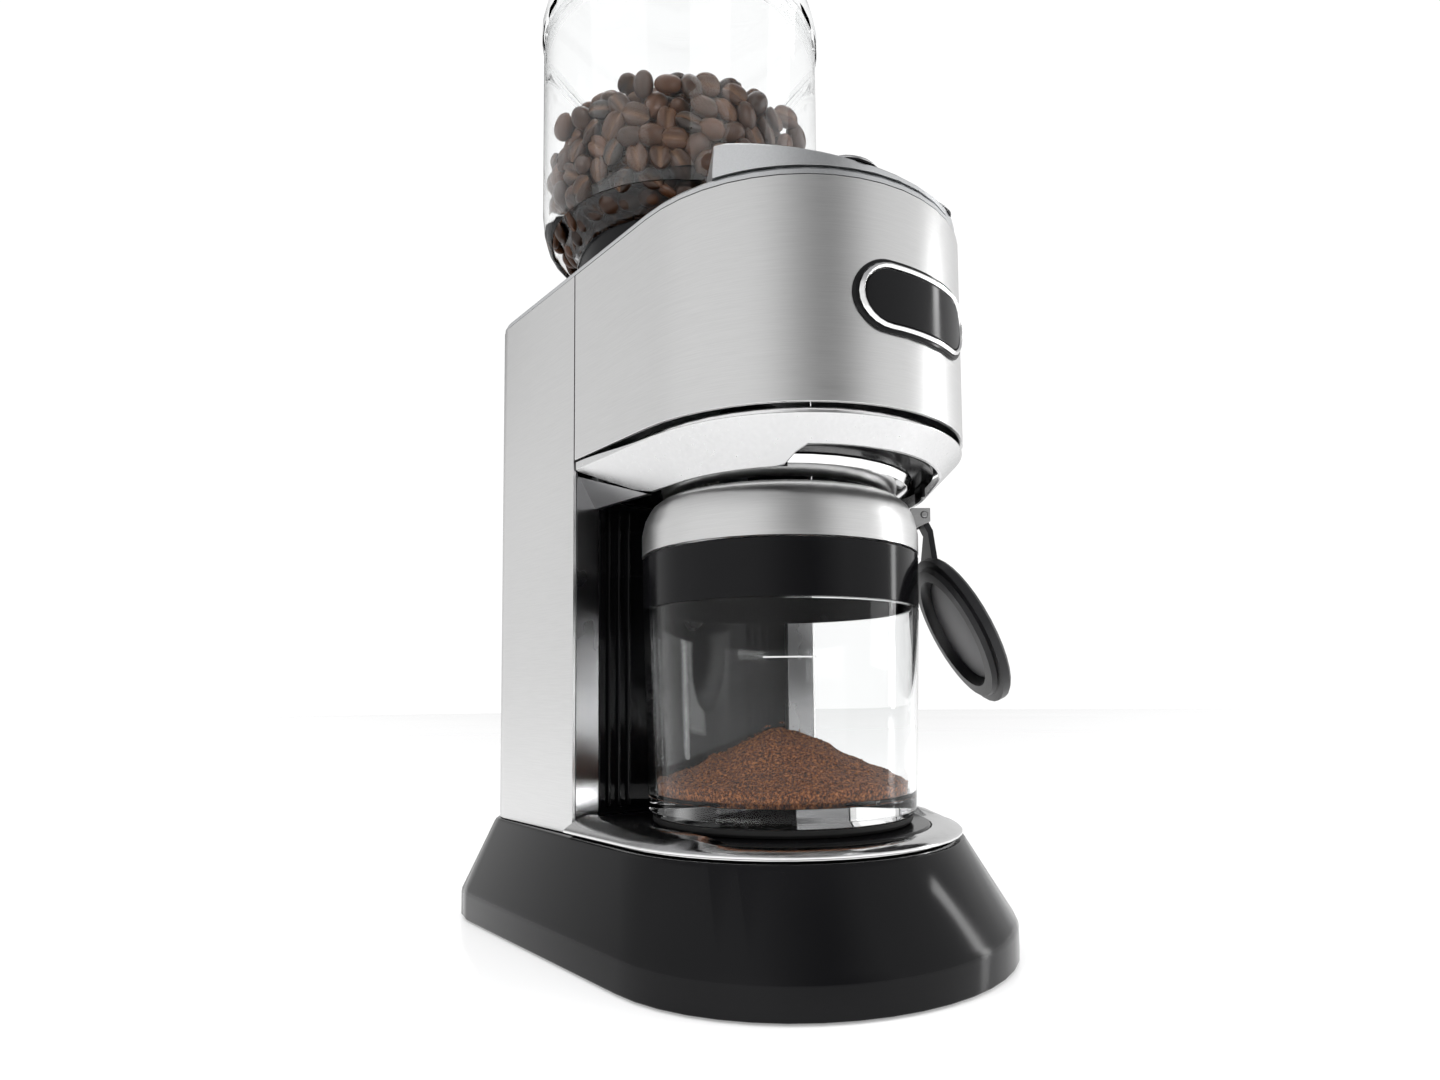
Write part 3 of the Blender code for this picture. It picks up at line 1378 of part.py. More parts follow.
def make_burrs():
    drive = bpy.data.objects["joint_spindle"]
    low = burr_low()
    top = burr_top()
    inner = CHAMBER_RADIUS - CHAMBER_WALL - 1 * MM
    sweep_low = CHAMBER_Z + 2.8 * MM + RUN
    plan = []
    for i in range(6):
        for share, radius in ((-0.36, 13 * MM), (-0.1, inner), (0.1, inner), (0.36, 13 * MM)):
            a = 2 * math.pi * (i + share) / 6
            plan.append((radius * math.cos(a), HOPPER_Y + radius * math.sin(a)))
    sweeper = part("grounds_sweeper", prism(plan, sweep_low, low - 4 * MM), "nylon", drive)
    bore(sweeper, HOPPER_Y, SPINDLE_RADIUS + GAP, sweep_low, low - 4 * MM)

    teeth = 14
    cone = BURR_RADIUS - 4.5 * MM
    shaft = SPINDLE_RADIUS + GAP
    rings = [plain_ring(shaft, low, teeth * 3)]
    levels = ((0.0, cone, 1.2), (0.18, cone, 1.2), (0.55, cone - 5 * MM, 2.4), (1.0, cone - 9 * MM, 3.6))
    for share, radius, depth in levels:
        rings.append(burr_ring(radius, low + (top - low) * share, teeth, depth * MM, 0.5 * share))
    rings.append(plain_ring(shaft, top, teeth * 3))
    part("lower_burr", loft(rings, closed=True), "burr_steel", drive)

    lift = pivot("joint_upper_burr", (0, HOPPER_Y, top))
    outer = BURR_RADIUS
    levels = (
        (0.06, cone + 1.0 * MM + 1.2 * MM, 1.0),
        (0.30, cone + 0.6 * MM + 1.2 * MM, 1.0),
        (0.60, cone - 3.4 * MM + 2.0 * MM, 1.8),
        (0.98, cone + 0.2 * MM, 2.4),
    )
    rings = []
    for share, radius, depth in levels:
        loop = burr_ring(radius, low + (top - low) * share, teeth, -0.4 * depth * MM, -0.4 * share)
        rings.append(loop)
    rings.append(plain_ring(outer, low + (top - low) * 0.98, teeth * 3))
    rings.append(plain_ring(outer, low + (top - low) * 0.06, teeth * 3))
    part("upper_burr", loft(rings, closed=True), "burr_steel", lift)

    carrier_low = low + 2 * MM
    carrier_top = top + 3 * MM
    outer = CHAMBER_RADIUS - CHAMBER_WALL - RUN
    inner = BURR_RADIUS + GAP
    profile = [(inner, carrier_low)]
    turns = 3
    pitch = (carrier_top - carrier_low - 2 * MM) / turns
    profile.append((outer - 1 * MM, carrier_low))
    for i in range(turns):
        base = carrier_low + 1 * MM + pitch * i
        profile.append((outer, base + 0.25 * pitch))
        profile.append((outer - 1 * MM, base + 0.75 * pitch))
    profile.append((outer - 1 * MM, carrier_top))
    profile.append((inner, carrier_top))
    part("burr_carrier", lathe(profile, HOPPER_Y), "nylon", lift)


def main():
    remove_start_objects()
    make_base()
    make_deck()
    make_seat()
    make_column()
    make_switch()
    make_chassis()
    make_head()
    make_badge()
    make_cover()
    make_control_panel()
    make_buttons()
    make_control_board()
    make_hopper()
    make_container()
    make_drive()


main()
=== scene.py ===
"""Looks of the burr coffee grinder: studio, camera, materials, and the fine pieces round the model."""
import json
import math
import random

import bmesh
import bpy
import numpy as np
from mathutils import Matrix, Vector


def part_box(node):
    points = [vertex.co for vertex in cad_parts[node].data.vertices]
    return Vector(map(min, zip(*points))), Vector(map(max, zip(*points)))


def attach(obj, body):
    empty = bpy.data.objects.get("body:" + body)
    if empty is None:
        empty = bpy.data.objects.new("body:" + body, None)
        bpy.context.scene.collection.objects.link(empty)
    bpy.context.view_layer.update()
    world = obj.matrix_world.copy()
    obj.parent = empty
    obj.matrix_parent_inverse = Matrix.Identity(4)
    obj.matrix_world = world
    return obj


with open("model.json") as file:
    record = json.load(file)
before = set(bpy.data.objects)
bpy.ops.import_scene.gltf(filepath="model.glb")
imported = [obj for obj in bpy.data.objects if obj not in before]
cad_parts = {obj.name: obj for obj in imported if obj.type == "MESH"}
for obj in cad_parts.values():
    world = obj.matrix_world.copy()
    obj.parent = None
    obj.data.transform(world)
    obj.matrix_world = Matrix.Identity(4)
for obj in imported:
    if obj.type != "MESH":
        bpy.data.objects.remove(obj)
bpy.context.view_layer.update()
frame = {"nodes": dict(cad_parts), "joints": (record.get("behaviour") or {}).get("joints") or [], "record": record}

MM = 0.001
TAU = 2 * math.pi
NODES = frame["nodes"]


# Places read from the frame


def middle(node):
    low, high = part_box(node)
    return (low + high) / 2


HOPPER_AXIS = middle("bean_hopper")
JAR_AXIS = middle("container_jar")
JAR_LOW, JAR_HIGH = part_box("container_jar")
HOPPER_LOW, HOPPER_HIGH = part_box("bean_hopper")
FUNNEL_LOW, FUNNEL_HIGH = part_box("hopper_funnel")
HOPPER_WALL = 2 * MM
JAR_WALL = 1.9 * MM
JAR_FLOOR = 6 * MM
HOPPER_INSIDE = (HOPPER_HIGH.x - HOPPER_LOW.x) / 2 - HOPPER_WALL
JAR_INSIDE = (JAR_HIGH.x - JAR_LOW.x) / 2 - JAR_WALL
FRONT_NOSE = 65 * MM
KEY_PROUD = 1.6 * MM
DISPLAY_DEPTH = 1.4 * MM
SHARP_ANGLE = 32
CAMERA_PLACE = (-0.21227, -0.25374, 0.08762)
CAMERA_LENS = 21.057
CAMERA_SHIFT = (-0.0109, 0.0715)
CAMERA_YAW, CAMERA_PITCH, CAMERA_ROLL = 0.6932, 0.0664, -0.0084
WHITE_STRENGTH = 1.05
TOP_TONE = (0.42, 0.42, 0.43, 1)
FLOOR_RADIUS = 6


# Camera, light and floor


def make_camera():
    """The viewpoint: low, at the front left of the grinder, looking a little upwards."""
    data = bpy.data.cameras.new("camera")
    data.sensor_width = 36
    data.lens = CAMERA_LENS
    data.shift_x, data.shift_y = CAMERA_SHIFT
    data.dof.use_dof = False
    data.clip_start = 0.01
    data.clip_end = 50
    yaw, pitch, roll = CAMERA_YAW, CAMERA_PITCH, CAMERA_ROLL
    ahead = Vector((math.sin(yaw) * math.cos(pitch), math.cos(yaw) * math.cos(pitch), math.sin(pitch)))
    right = Vector((math.cos(yaw), -math.sin(yaw), 0))
    up = right.cross(ahead)
    tilted_right = math.cos(roll) * right + math.sin(roll) * up
    tilted_up = -math.sin(roll) * right + math.cos(roll) * up
    turn = Matrix((tilted_right, tilted_up, -ahead)).transposed()
    camera = bpy.data.objects.new("camera", data)
    camera.matrix_world = Matrix.Translation(CAMERA_PLACE) @ turn.to_4x4()
    bpy.context.scene.collection.objects.link(camera)
    bpy.context.scene.camera = camera


def area_light(name, place, aim, size, power, shines):
    data = bpy.data.lights.new(name, "AREA")
    data.shape = "RECTANGLE"
    data.size, data.size_y = size
    data.energy = power
    light = bpy.data.objects.new(name, data)
    direction = Vector(aim) - Vector(place)
    light.rotation_euler = direction.to_track_quat("-Z", "Y").to_euler()
    light.location = place
    light.visible_glossy = shines
    bpy.context.scene.collection.objects.link(light)


def ramp_node(tree, stops, interpolation="B_SPLINE"):
    ramp = tree.nodes.new("ShaderNodeValToRGB")
    ramp.color_ramp.interpolation = interpolation
    elements = ramp.color_ramp.elements
    while len(elements) < len(stops):
        elements.new(0.5)
    for element, (place, value) in zip(elements, stops):
        element.position = place
        element.color = value if isinstance(value, tuple) else (value, value, value, 1)
    return ramp


# Brightness of the room by direction in degrees, of the dark flag in it, and where each starts upwards
SIDE_TONES = (
    (-178, 1.20),
    (-146, 0.95),
    (-128, 0.42),
    (-108, 0.10),
    (-94, 0.45),
    (-76, 1.20),
    (-30, 1.10),
    (8, 1.0),
    (45, 0.55),
    (90, 0.95),
    (112, 1.2),
    (138, 0.72),
    (165, 1.30),
)
FLAG_TONES = ((44, 1.0), (64, 0.10), (92, 0.10), (108, 1.0))
FLAG_RISE = ((0.24, 0.0), (0.40, 1.0))
TOP_RISE = ((0.62, 0.0), (0.80, 1.0))


def azimuth(degrees):
    return (degrees + 180) / 360


def make_world():
    """A bright studio with softer and darker stretches, which metal shows as upright bands."""
    world = bpy.data.worlds.new("studio")
    bpy.context.scene.world = world
    world.use_nodes = True
    tree = world.node_tree
    tree.nodes.clear()
    link = tree.links.new
    coordinates = tree.nodes.new("ShaderNodeTexCoord")
    split = tree.nodes.new("ShaderNodeSeparateXYZ")
    link(coordinates.outputs["Generated"], split.inputs[0])
    turn = tree.nodes.new("ShaderNodeMath")
    turn.operation = "ARCTAN2"
    link(split.outputs["Y"], turn.inputs[0])
    link(split.outputs["X"], turn.inputs[1])
    share = tree.nodes.new("ShaderNodeMapRange")
    share.inputs["From Min"].default_value = -math.pi
    share.inputs["From Max"].default_value = math.pi
    link(turn.outputs[0], share.inputs["Value"])
    around = ramp_node(tree, [(azimuth(degrees), tone) for degrees, tone in SIDE_TONES])
    link(share.outputs[0], around.inputs[0])
    flagged = ramp_node(tree, [(azimuth(degrees), tone) for degrees, tone in FLAG_TONES])
    link(share.outputs[0], flagged.inputs[0])
    flag_height = ramp_node(tree, FLAG_RISE)
    link(split.outputs["Z"], flag_height.inputs[0])
    darkened = tree.nodes.new("ShaderNodeMix")
    darkened.data_type = "RGBA"
    darkened.blend_type = "MULTIPLY"
    link(flag_height.outputs[0], darkened.inputs["Factor"])
    link(around.outputs[0], darkened.inputs["A"])
    link(flagged.outputs[0], darkened.inputs["B"])
    height = ramp_node(tree, TOP_RISE)
    link(split.outputs["Z"], height.inputs[0])
    mixed = tree.nodes.new("ShaderNodeMix")
    mixed.data_type = "RGBA"
    link(height.outputs[0], mixed.inputs["Factor"])
    link(darkened.outputs["Result"], mixed.inputs["A"])
    mixed.inputs["B"].default_value = TOP_TONE
    light = tree.nodes.new("ShaderNodeBackground")
    link(mixed.outputs["Result"], light.inputs["Color"])
    white = tree.nodes.new("ShaderNodeBackground")
    white.inputs["Color"].default_value = (1, 1, 1, 1)
    white.inputs["Strength"].default_value = WHITE_STRENGTH
    path = tree.nodes.new("ShaderNodeLightPath")
    either = tree.nodes.new("ShaderNodeMath")
    either.operation = "MAXIMUM"
    link(path.outputs["Is Camera Ray"], either.inputs[0])
    link(path.outputs["Is Transmission Ray"], either.inputs[1])
    choice = tree.nodes.new("ShaderNodeMixShader")
    link(either.outputs[0], choice.inputs["Fac"])
    link(light.outputs[0], choice.inputs[1])
    link(white.outputs[0], choice.inputs[2])
    output = tree.nodes.new("ShaderNodeOutputWorld")
    link(choice.outputs[0], output.inputs["Surface"])


# Name, place, height aimed at, size, power, and whether shiny surfaces show it
LIGHTS = (
    ("left_softbox", (-1.1, -0.1, 0.75), 0.2, (0.9, 1.2), 9, False),
    ("front_softbox", (-0.35, -1.3, 0.6), 0.2, (0.7, 0.7), 8, False),
    ("right_softbox", (0.9, -0.9, 0.6), 0.15, (0.5, 1.1), 6, False),
    ("top_softbox", (0, 0.1, 1.4), 0.2, (1.2, 1.2), 8, False),
    ("window_strip", (1.25, -0.75, 0.45), 0.1, (0.14, 0.9), 3.5, True),
)


def make_studio():
    bpy.context.scene.view_settings.view_transform = "Standard"
    make_world()
    for name, place, aim_height, size, power, shines in LIGHTS:
        area_light(name, place, (0, 0, aim_height), size, power, shines)
    bm = bmesh.new()
    bmesh.ops.create_circle(bm, cap_ends=True, radius=FLOOR_RADIUS, segments=96)
    floor = new_object("floor", bm, MATERIALS["floor"])


# Materials


def principled(name, colour, roughness, metallic=0.0, **settings):
    """A Principled material with its plain values on the shader's own sockets."""
    material = bpy.data.materials.new(name)
    material.use_nodes = True
    shader = material.node_tree.nodes["Principled BSDF"]
    shader.inputs["Base Color"].default_value = (*colour, 1)
    shader.inputs["Roughness"].default_value = roughness
    shader.inputs["Metallic"].default_value = metallic
    for socket, value in settings.items():
        shader.inputs[socket.replace("_", " ")].default_value = value
    return material


def noise(material, scale, stretch=(1, 1, 1), detail=3.0, roughness=0.55):
    """Noise over the object's own coordinates, in metres."""
    tree = material.node_tree
    coordinates = tree.nodes.new("ShaderNodeTexCoord")
    mapping = tree.nodes.new("ShaderNodeMapping")
    mapping.inputs["Scale"].default_value = stretch
    texture = tree.nodes.new("ShaderNodeTexNoise")
    texture.inputs["Scale"].default_value = scale
    texture.inputs["Detail"].default_value = detail
    texture.inputs["Roughness"].default_value = roughness
    tree.links.new(coordinates.outputs["Object"], mapping.inputs["Vector"])
    tree.links.new(mapping.outputs["Vector"], texture.inputs["Vector"])
    return texture.outputs["Fac"]


def vary_roughness(material, factor, low, high):
    tree = material.node_tree
    ranged = tree.nodes.new("ShaderNodeMapRange")
    ranged.inputs["From Min"].default_value = 0.25
    ranged.inputs["From Max"].default_value = 0.75
    ranged.inputs["To Min"].default_value = low
    ranged.inputs["To Max"].default_value = high
    tree.links.new(factor, ranged.inputs["Value"])
    tree.links.new(ranged.outputs[0], tree.nodes["Principled BSDF"].inputs["Roughness"])


def vary_colour(material, factor, stops):
    tree = material.node_tree
    ramp = ramp_node(tree, stops, "LINEAR")
    tree.links.new(factor, ramp.inputs[0])
    tree.links.new(ramp.outputs[0], tree.nodes["Principled BSDF"].inputs["Base Color"])


def add_bump(material, factor, strength, distance):
    tree = material.node_tree
    shader = tree.nodes["Principled BSDF"]
    bump = tree.nodes.new("ShaderNodeBump")
    bump.inputs["Strength"].default_value = strength
    bump.inputs["Distance"].default_value = distance
    if shader.inputs["Normal"].links:
        tree.links.new(shader.inputs["Normal"].links[0].from_socket, bump.inputs["Normal"])
    tree.links.new(factor, bump.inputs["Height"])
    tree.links.new(bump.outputs[0], shader.inputs["Normal"])


def metal(name, colour, roughness, grain, stretch, bump):
    """Metal with a grain: level brushing where stretch is large upwards."""
    material = principled(name, colour, roughness, 1.0)
    lines = noise(material, grain, stretch, 4.0, 0.7)
    soft = noise(material, 14, (1, 1, 1), 2.0)
    vary_roughness(material, lines, roughness - 0.04, roughness + 0.05)
    low = tuple(0.95 * c for c in colour) + (1,)
    high = tuple(min(1.03 * c, 1.0) for c in colour) + (1,)
    vary_colour(material, lines, [(0.35, low), (0.65, high)])
    add_bump(material, lines, bump, 0.0002)
    add_bump(material, soft, 0.02, 0.001)
    return material


def plastic(name, colour, roughness, fleck, bump, **settings):
    """Moulded plastic: a fine surface with slight unevenness in its shine."""
    material = principled(name, colour, roughness, 0.0, **settings)
    fine = noise(material, fleck, (1, 1, 1), 3.0)
    wide = noise(material, 22, (1, 1, 1), 2.0)
    vary_roughness(material, wide, max(roughness - 0.05, 0.02), roughness + 0.06)
    add_bump(material, fine, bump, 0.00015)
    low = tuple(0.85 * c for c in colour) + (1,)
    high = tuple(min(1.15 * c, 1.0) for c in colour) + (1,)
    vary_colour(material, wide, [(0.3, low), (0.7, high)])
    return material


def clear(name, colour, ior, roughness=0.01):
    """Clear moulded plastic, a little less shiny than its index would make it."""
    settings = {"IOR": ior, "Transmission_Weight": 1.0, "Specular_IOR_Level": 0.34}
    material = principled(name, colour, roughness, 0.0, **settings)
    wide = noise(material, 9, (1, 1, 0.4), 2.0)
    vary_roughness(material, wide, 0.0, 2.2 * roughness)
    low = tuple(0.985 * c for c in colour) + (1,)
    vary_colour(material, wide, [(0.3, low), (0.7, colour + (1,))])
    return material


def coffee_bean():
    """Dark roasted beans, each a little lighter or darker, with a paler crease."""
    material = principled("coffee_bean", (0.03, 0.012, 0.005), 0.3, 0.0, Specular_IOR_Level=0.26)
    tree = material.node_tree
    tone = tree.nodes.new("ShaderNodeAttribute")
    tone.attribute_name = "tone"
    crease = tree.nodes.new("ShaderNodeAttribute")
    crease.attribute_name = "crease"
    skin = ramp_node(tree, [(0.0, (0.010, 0.0042, 0.0020, 1)), (1.0, (0.066, 0.024, 0.0085, 1))], "LINEAR")
    mixed = tree.nodes.new("ShaderNodeMix")
    mixed.data_type = "RGBA"
    tree.links.new(tone.outputs["Fac"], skin.inputs[0])
    tree.links.new(crease.outputs["Fac"], mixed.inputs["Factor"])
    tree.links.new(skin.outputs[0], mixed.inputs["A"])
    mixed.inputs["B"].default_value = (0.115, 0.055, 0.024, 1)
    tree.links.new(mixed.outputs["Result"], tree.nodes["Principled BSDF"].inputs["Base Color"])
    wrinkle = noise(material, 480, (1, 1, 1), 4.0)
    vary_roughness(material, wrinkle, 0.24, 0.48)
    add_bump(material, wrinkle, 0.35, 0.0003)
    return material


def ground_coffee():
    """Grounds: orange-brown and dark specks, rough."""
    material = principled("ground_coffee", (0.16, 0.055, 0.02), 0.85)
    specks = noise(material, 950, (1, 1, 1), 5.0, 0.85)
    stops = [
        (0.40, (0.014, 0.005, 0.002, 1)),
        (0.48, (0.085, 0.024, 0.007, 1)),
        (0.54, (0.24, 0.078, 0.021, 1)),
        (0.64, (0.50, 0.20, 0.065, 1)),
    ]
    vary_colour(material, specks, stops)
    vary_roughness(material, specks, 0.7, 0.95)
    add_bump(material, specks, 0.9, 0.0010)
    return material


def floor_paint():
    """A pale glossy floor, even to the horizon."""
    glow = {"Emission_Color": (1, 1, 1, 1), "Emission_Strength": 0.24}
    material = principled("floor", (0.88, 0.88, 0.88), 0.09, 0.0, **glow)
    vary_roughness(material, noise(material, 0.8, (1, 1, 1), 1.0), 0.08, 0.10)
    return material


def make_materials():
    least_shine = {"Specular_IOR_Level": 0.15}
    low_shine = {"Specular_IOR_Level": 0.28}
    rubber_shine = {"Specular_IOR_Level": 0.3}
    made = {
        "brushed_steel": metal("brushed_steel", (0.64, 0.64, 0.638), 0.32, 75, (1, 1, 46), 0.08),
        "satin_metal": metal("satin_metal", (0.62, 0.62, 0.622), 0.24, 700, (1, 1, 1), 0.02),
        "chrome_trim": metal("chrome_trim", (0.82, 0.82, 0.82), 0.10, 500, (1, 1, 1), 0.01),
        "polished_metal": metal("polished_metal", (0.70, 0.70, 0.70), 0.13, 500, (1, 1, 1), 0.01),
        "dark_trim": metal("dark_trim", (0.36, 0.36, 0.365), 0.27, 12, (1, 1, 1), 0.0),
        "gloss_black": plastic("gloss_black", (0.0035, 0.0035, 0.004), 0.13, 500, 0.012, **least_shine),
        "matt_black": plastic("matt_black", (0.010, 0.010, 0.011), 0.38, 1100, 0.08, **low_shine),
        "black_rubber": plastic("black_rubber", (0.010, 0.010, 0.010), 0.65, 1500, 0.2, **rubber_shine),
        "silver_plastic": metal("silver_plastic", (0.62, 0.63, 0.64), 0.33, 1500, (1, 1, 1), 0.04),
        "clear_plastic": clear("clear_plastic", (0.975, 0.98, 0.98), 1.22),
        "smoke_plastic": clear("smoke_plastic", (0.50, 0.50, 0.51), 1.36, 0.03),
        "grey_plastic": plastic("grey_plastic", (0.11, 0.11, 0.115), 0.42, 1200, 0.06),
        "plain_steel": metal("plain_steel", (0.52, 0.52, 0.52), 0.34, 400, (1, 1, 6), 0.06),
        "burr_steel": metal("burr_steel", (0.36, 0.36, 0.37), 0.30, 250, (1, 1, 1), 0.10),
        "zinc_plate": metal("zinc_plate", (0.48, 0.49, 0.50), 0.42, 90, (1, 1, 1), 0.10),
        "pinion_brass": metal("pinion_brass", (0.66, 0.47, 0.20), 0.30, 300, (1, 1, 1), 0.06),
        "white_nylon": plastic("white_nylon", (0.72, 0.71, 0.67), 0.5, 1200, 0.08),
        "board_green": plastic("board_green", (0.015, 0.13, 0.06), 0.4, 300, 0.1),
        "white_print": plastic("white_print", (0.55, 0.55, 0.55), 0.5, 1500, 0.05),
        "dark_print": plastic("dark_print", (0.03, 0.03, 0.032), 0.5, 1500, 0.05),
        "lit_display": plastic("lit_display", (0.25, 0.45, 0.55), 0.4, 1500, 0.03),
        "floor": floor_paint(),
        "coffee_bean": coffee_bean(),
        "ground_coffee": ground_coffee(),
    }
    lit = made["lit_display"].node_tree.nodes["Principled BSDF"]
    lit.inputs["Emission Color"].default_value = (0.4, 0.75, 0.9, 1)
    lit.inputs["Emission Strength"].default_value = 0.6
    return made


# Mesh tools


def new_object(name, bm, material, sharp=SHARP_ANGLE):
    bmesh.ops.recalc_face_normals(bm, faces=bm.faces)
    mesh = bpy.data.meshes.new(name)
    bm.to_mesh(mesh)
    bm.free()
    mesh.shade_smooth()
    mesh.set_sharp_from_angle(angle=math.radians(sharp))
    mesh.materials.append(material)
    made = bpy.data.objects.new(name, mesh)
    bpy.context.scene.collection.objects.link(made)
    return made


def piece(name, bm, slot, body, material=None, sharp=SHARP_ANGLE):
    """A new piece of the object, riding on a body."""
    made = new_object(name, bm, MATERIALS[material or slot], sharp)
    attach(made, body)
    return made


def loft(sections, closed=False):
    bm = bmesh.new()
    loops = [[bm.verts.new(point) for point in section] for section in sections]
    pairs = list(zip(loops, loops[1:]))
    if closed:
        pairs.append((loops[-1], loops[0]))
    for low, high in pairs:
        count = len(low)
        for i in range(count):
            j = (i + 1) % count
            bm.faces.new((low[i], low[j], high[j], high[i]))
    if not closed:
        bm.faces.new(loops[0])
        bm.faces.new(loops[-1])
    return bm


def dress_nodes():
    """Smooth shading, softened edges and the slot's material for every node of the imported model."""
    slots = {part["node"]: part["material_slot"] for part in frame["record"]["subparts"]}
    for name, node in NODES.items():
        mesh = node.data
        if "custom_normal" in mesh.attributes:
            mesh.attributes.remove(mesh.attributes["custom_normal"])
        mesh.shade_smooth()
        weld = node.modifiers.new("weld", "WELD")
        weld.merge_threshold = WELD_GAP
        flat = node.modifiers.new("flat", "DECIMATE")
        flat.decimate_type = "DISSOLVE"
        flat.angle_limit = math.radians(FLAT_ANGLE)
        soft = node.modifiers.new("soft_edges", "BEVEL")
        soft.width = SOFT_EDGES.get(name, EDGE_WIDTH)
        soft.segments = 2
        soft.limit_method = "ANGLE"
        soft.angle_limit = math.radians(EDGE_ANGLE)
        soft.harden_normals = True
        soft.use_clamp_overlap = True
        mesh.materials.clear()
        mesh.materials.append(MATERIALS[NODE_FINISHES.get(name, slots[name])])


WELD_GAP = 0.01 * MM
FLAT_ANGLE = 0.6
EDGE_ANGLE = 33
EDGE_WIDTH = 0.25 * MM
NODE_FINISHES = {
    "deck_plate": "polished_metal",
    "column_trim_left": "dark_trim",
    "column_trim_right": "dark_trim",
}
SOFT_EDGES = {
    "base_skirt": 0.6 * MM,
    "deck_plate": 0.3 * MM,
    "control_panel": 0.5 * MM,
    "hopper_lid": 0.4 * MM,
}


# Coffee


BEAN_SIZE = Vector((5.7, 4.3, 3.3)) * MM
BEAN_REACH = 4.4 * MM
BEAN_COUNT = 720
BEAN_FLOOR = FUNNEL_HIGH.z - 14 * MM
CORE_RADIUS = 39 * MM
CORE_TOP = FUNNEL_HIGH.z + 36 * MM
NECK_INSET = 15 * MM
SLOPE_HEIGHT = 11.4 * MM
TOP_SHARE = 0.3
WALL_SHARE = 0.8
BEAN_ALONG = 11
BEAN_AROUND = 20
SETTLE_STEPS = 95
FAST_STEPS = 55
FAST_DROP = 0.5 * MM
SLOW_DROP = 0.12 * MM
PUSH_SHARE = 0.28


def bean_wall(z):
    """The radius inside the hopper at each height."""
    neck = (FUNNEL_HIGH.x - FUNNEL_LOW.x) / 2 - NECK_INSET
    slope_low = FUNNEL_HIGH.z - SLOPE_HEIGHT
    share = np.clip((z - slope_low) / (FUNNEL_HIGH.z - slope_low), 0, 1)
    return neck + (HOPPER_INSIDE - neck) * share


def settle_beans():
    """Centres of the beans, let down round a core and pushed apart until they lie on each other."""
    rng = np.random.default_rng(7)
    turn = rng.random(BEAN_COUNT) * TAU
    reach = CORE_RADIUS + rng.random(BEAN_COUNT) * (HOPPER_INSIDE - BEAN_REACH - CORE_RADIUS)
    height = BEAN_FLOOR + 6 * MM + rng.random(BEAN_COUNT) * 62 * MM
    top = rng.random(BEAN_COUNT) < TOP_SHARE
    reach[top] = np.sqrt(rng.random(top.sum())) * (HOPPER_INSIDE - BEAN_REACH)
    height[top] = CORE_TOP + rng.random(top.sum()) * 24 * MM
    centres = np.stack([reach * np.cos(turn), reach * np.sin(turn), height], axis=1).astype(np.float32)
    for step in range(SETTLE_STEPS):
        centres[:, 2] -= FAST_DROP if step < FAST_STEPS else SLOW_DROP
        for _ in range(2):
            gap = centres[:, None, :] - centres[None, :, :]
            distance = np.sqrt((gap**2).sum(axis=2)) + 1e-7
            np.fill_diagonal(distance, 1.0)
            push = np.clip(2 * BEAN_REACH - distance, 0, None) / distance
            centres += PUSH_SHARE * (gap * push[:, :, None]).sum(axis=1)
            outward = np.sqrt((centres[:, :2] ** 2).sum(axis=1)) + 1e-7
            held = (outward < CORE_RADIUS) & (centres[:, 2] < CORE_TOP)
            lifted = held & (centres[:, 2] > CORE_TOP - 6 * MM)
            pushed = held & ~lifted
            centres[lifted, 2] = CORE_TOP
            centres[pushed, :2] *= (CORE_RADIUS / outward[pushed])[:, None]
            outward = np.sqrt((centres[:, :2] ** 2).sum(axis=1)) + 1e-7
            limit = bean_wall(centres[:, 2]) - WALL_SHARE * BEAN_REACH
            centres[:, :2] *= np.minimum(1.0, limit / outward)[:, None]
            centres[:, 2] = np.maximum(centres[:, 2], BEAN_FLOOR)
    return centres


def bean_sections():
    """One bean on its side: rounded back, flatter belly with a crease. Points, and how creased each is."""
    sections = []
    creased = []
    for i in range(BEAN_ALONG):
        t = -math.cos(math.pi * (i + 0.35) / (BEAN_ALONG - 0.3))
        width = math.sqrt(max(1 - abs(t) ** 2.3, 0.0))
        ring = []
        marks = []
        for k in range(BEAN_AROUND):
            a = TAU * k / BEAN_AROUND
            y = BEAN_SIZE.y * width * math.cos(a)
            z = BEAN_SIZE.z * width * math.sin(a)
            mark = 0.0
            if math.sin(a) < 0:
                z = -0.62 * BEAN_SIZE.z * width * abs(math.sin(a)) ** 0.6
                bend = 0.5 * MM * math.sin(2.6 * t)
                mark = math.exp(-(((y - bend) / (0.7 * MM)) ** 2)) * min(1.0, 2.2 * width)
                z += 1.5 * MM * mark
            ring.append(Vector((BEAN_SIZE.x * t, y, z)))
            marks.append(mark)
        sections.append(ring)
        creased.append(marks)
    return sections, creased


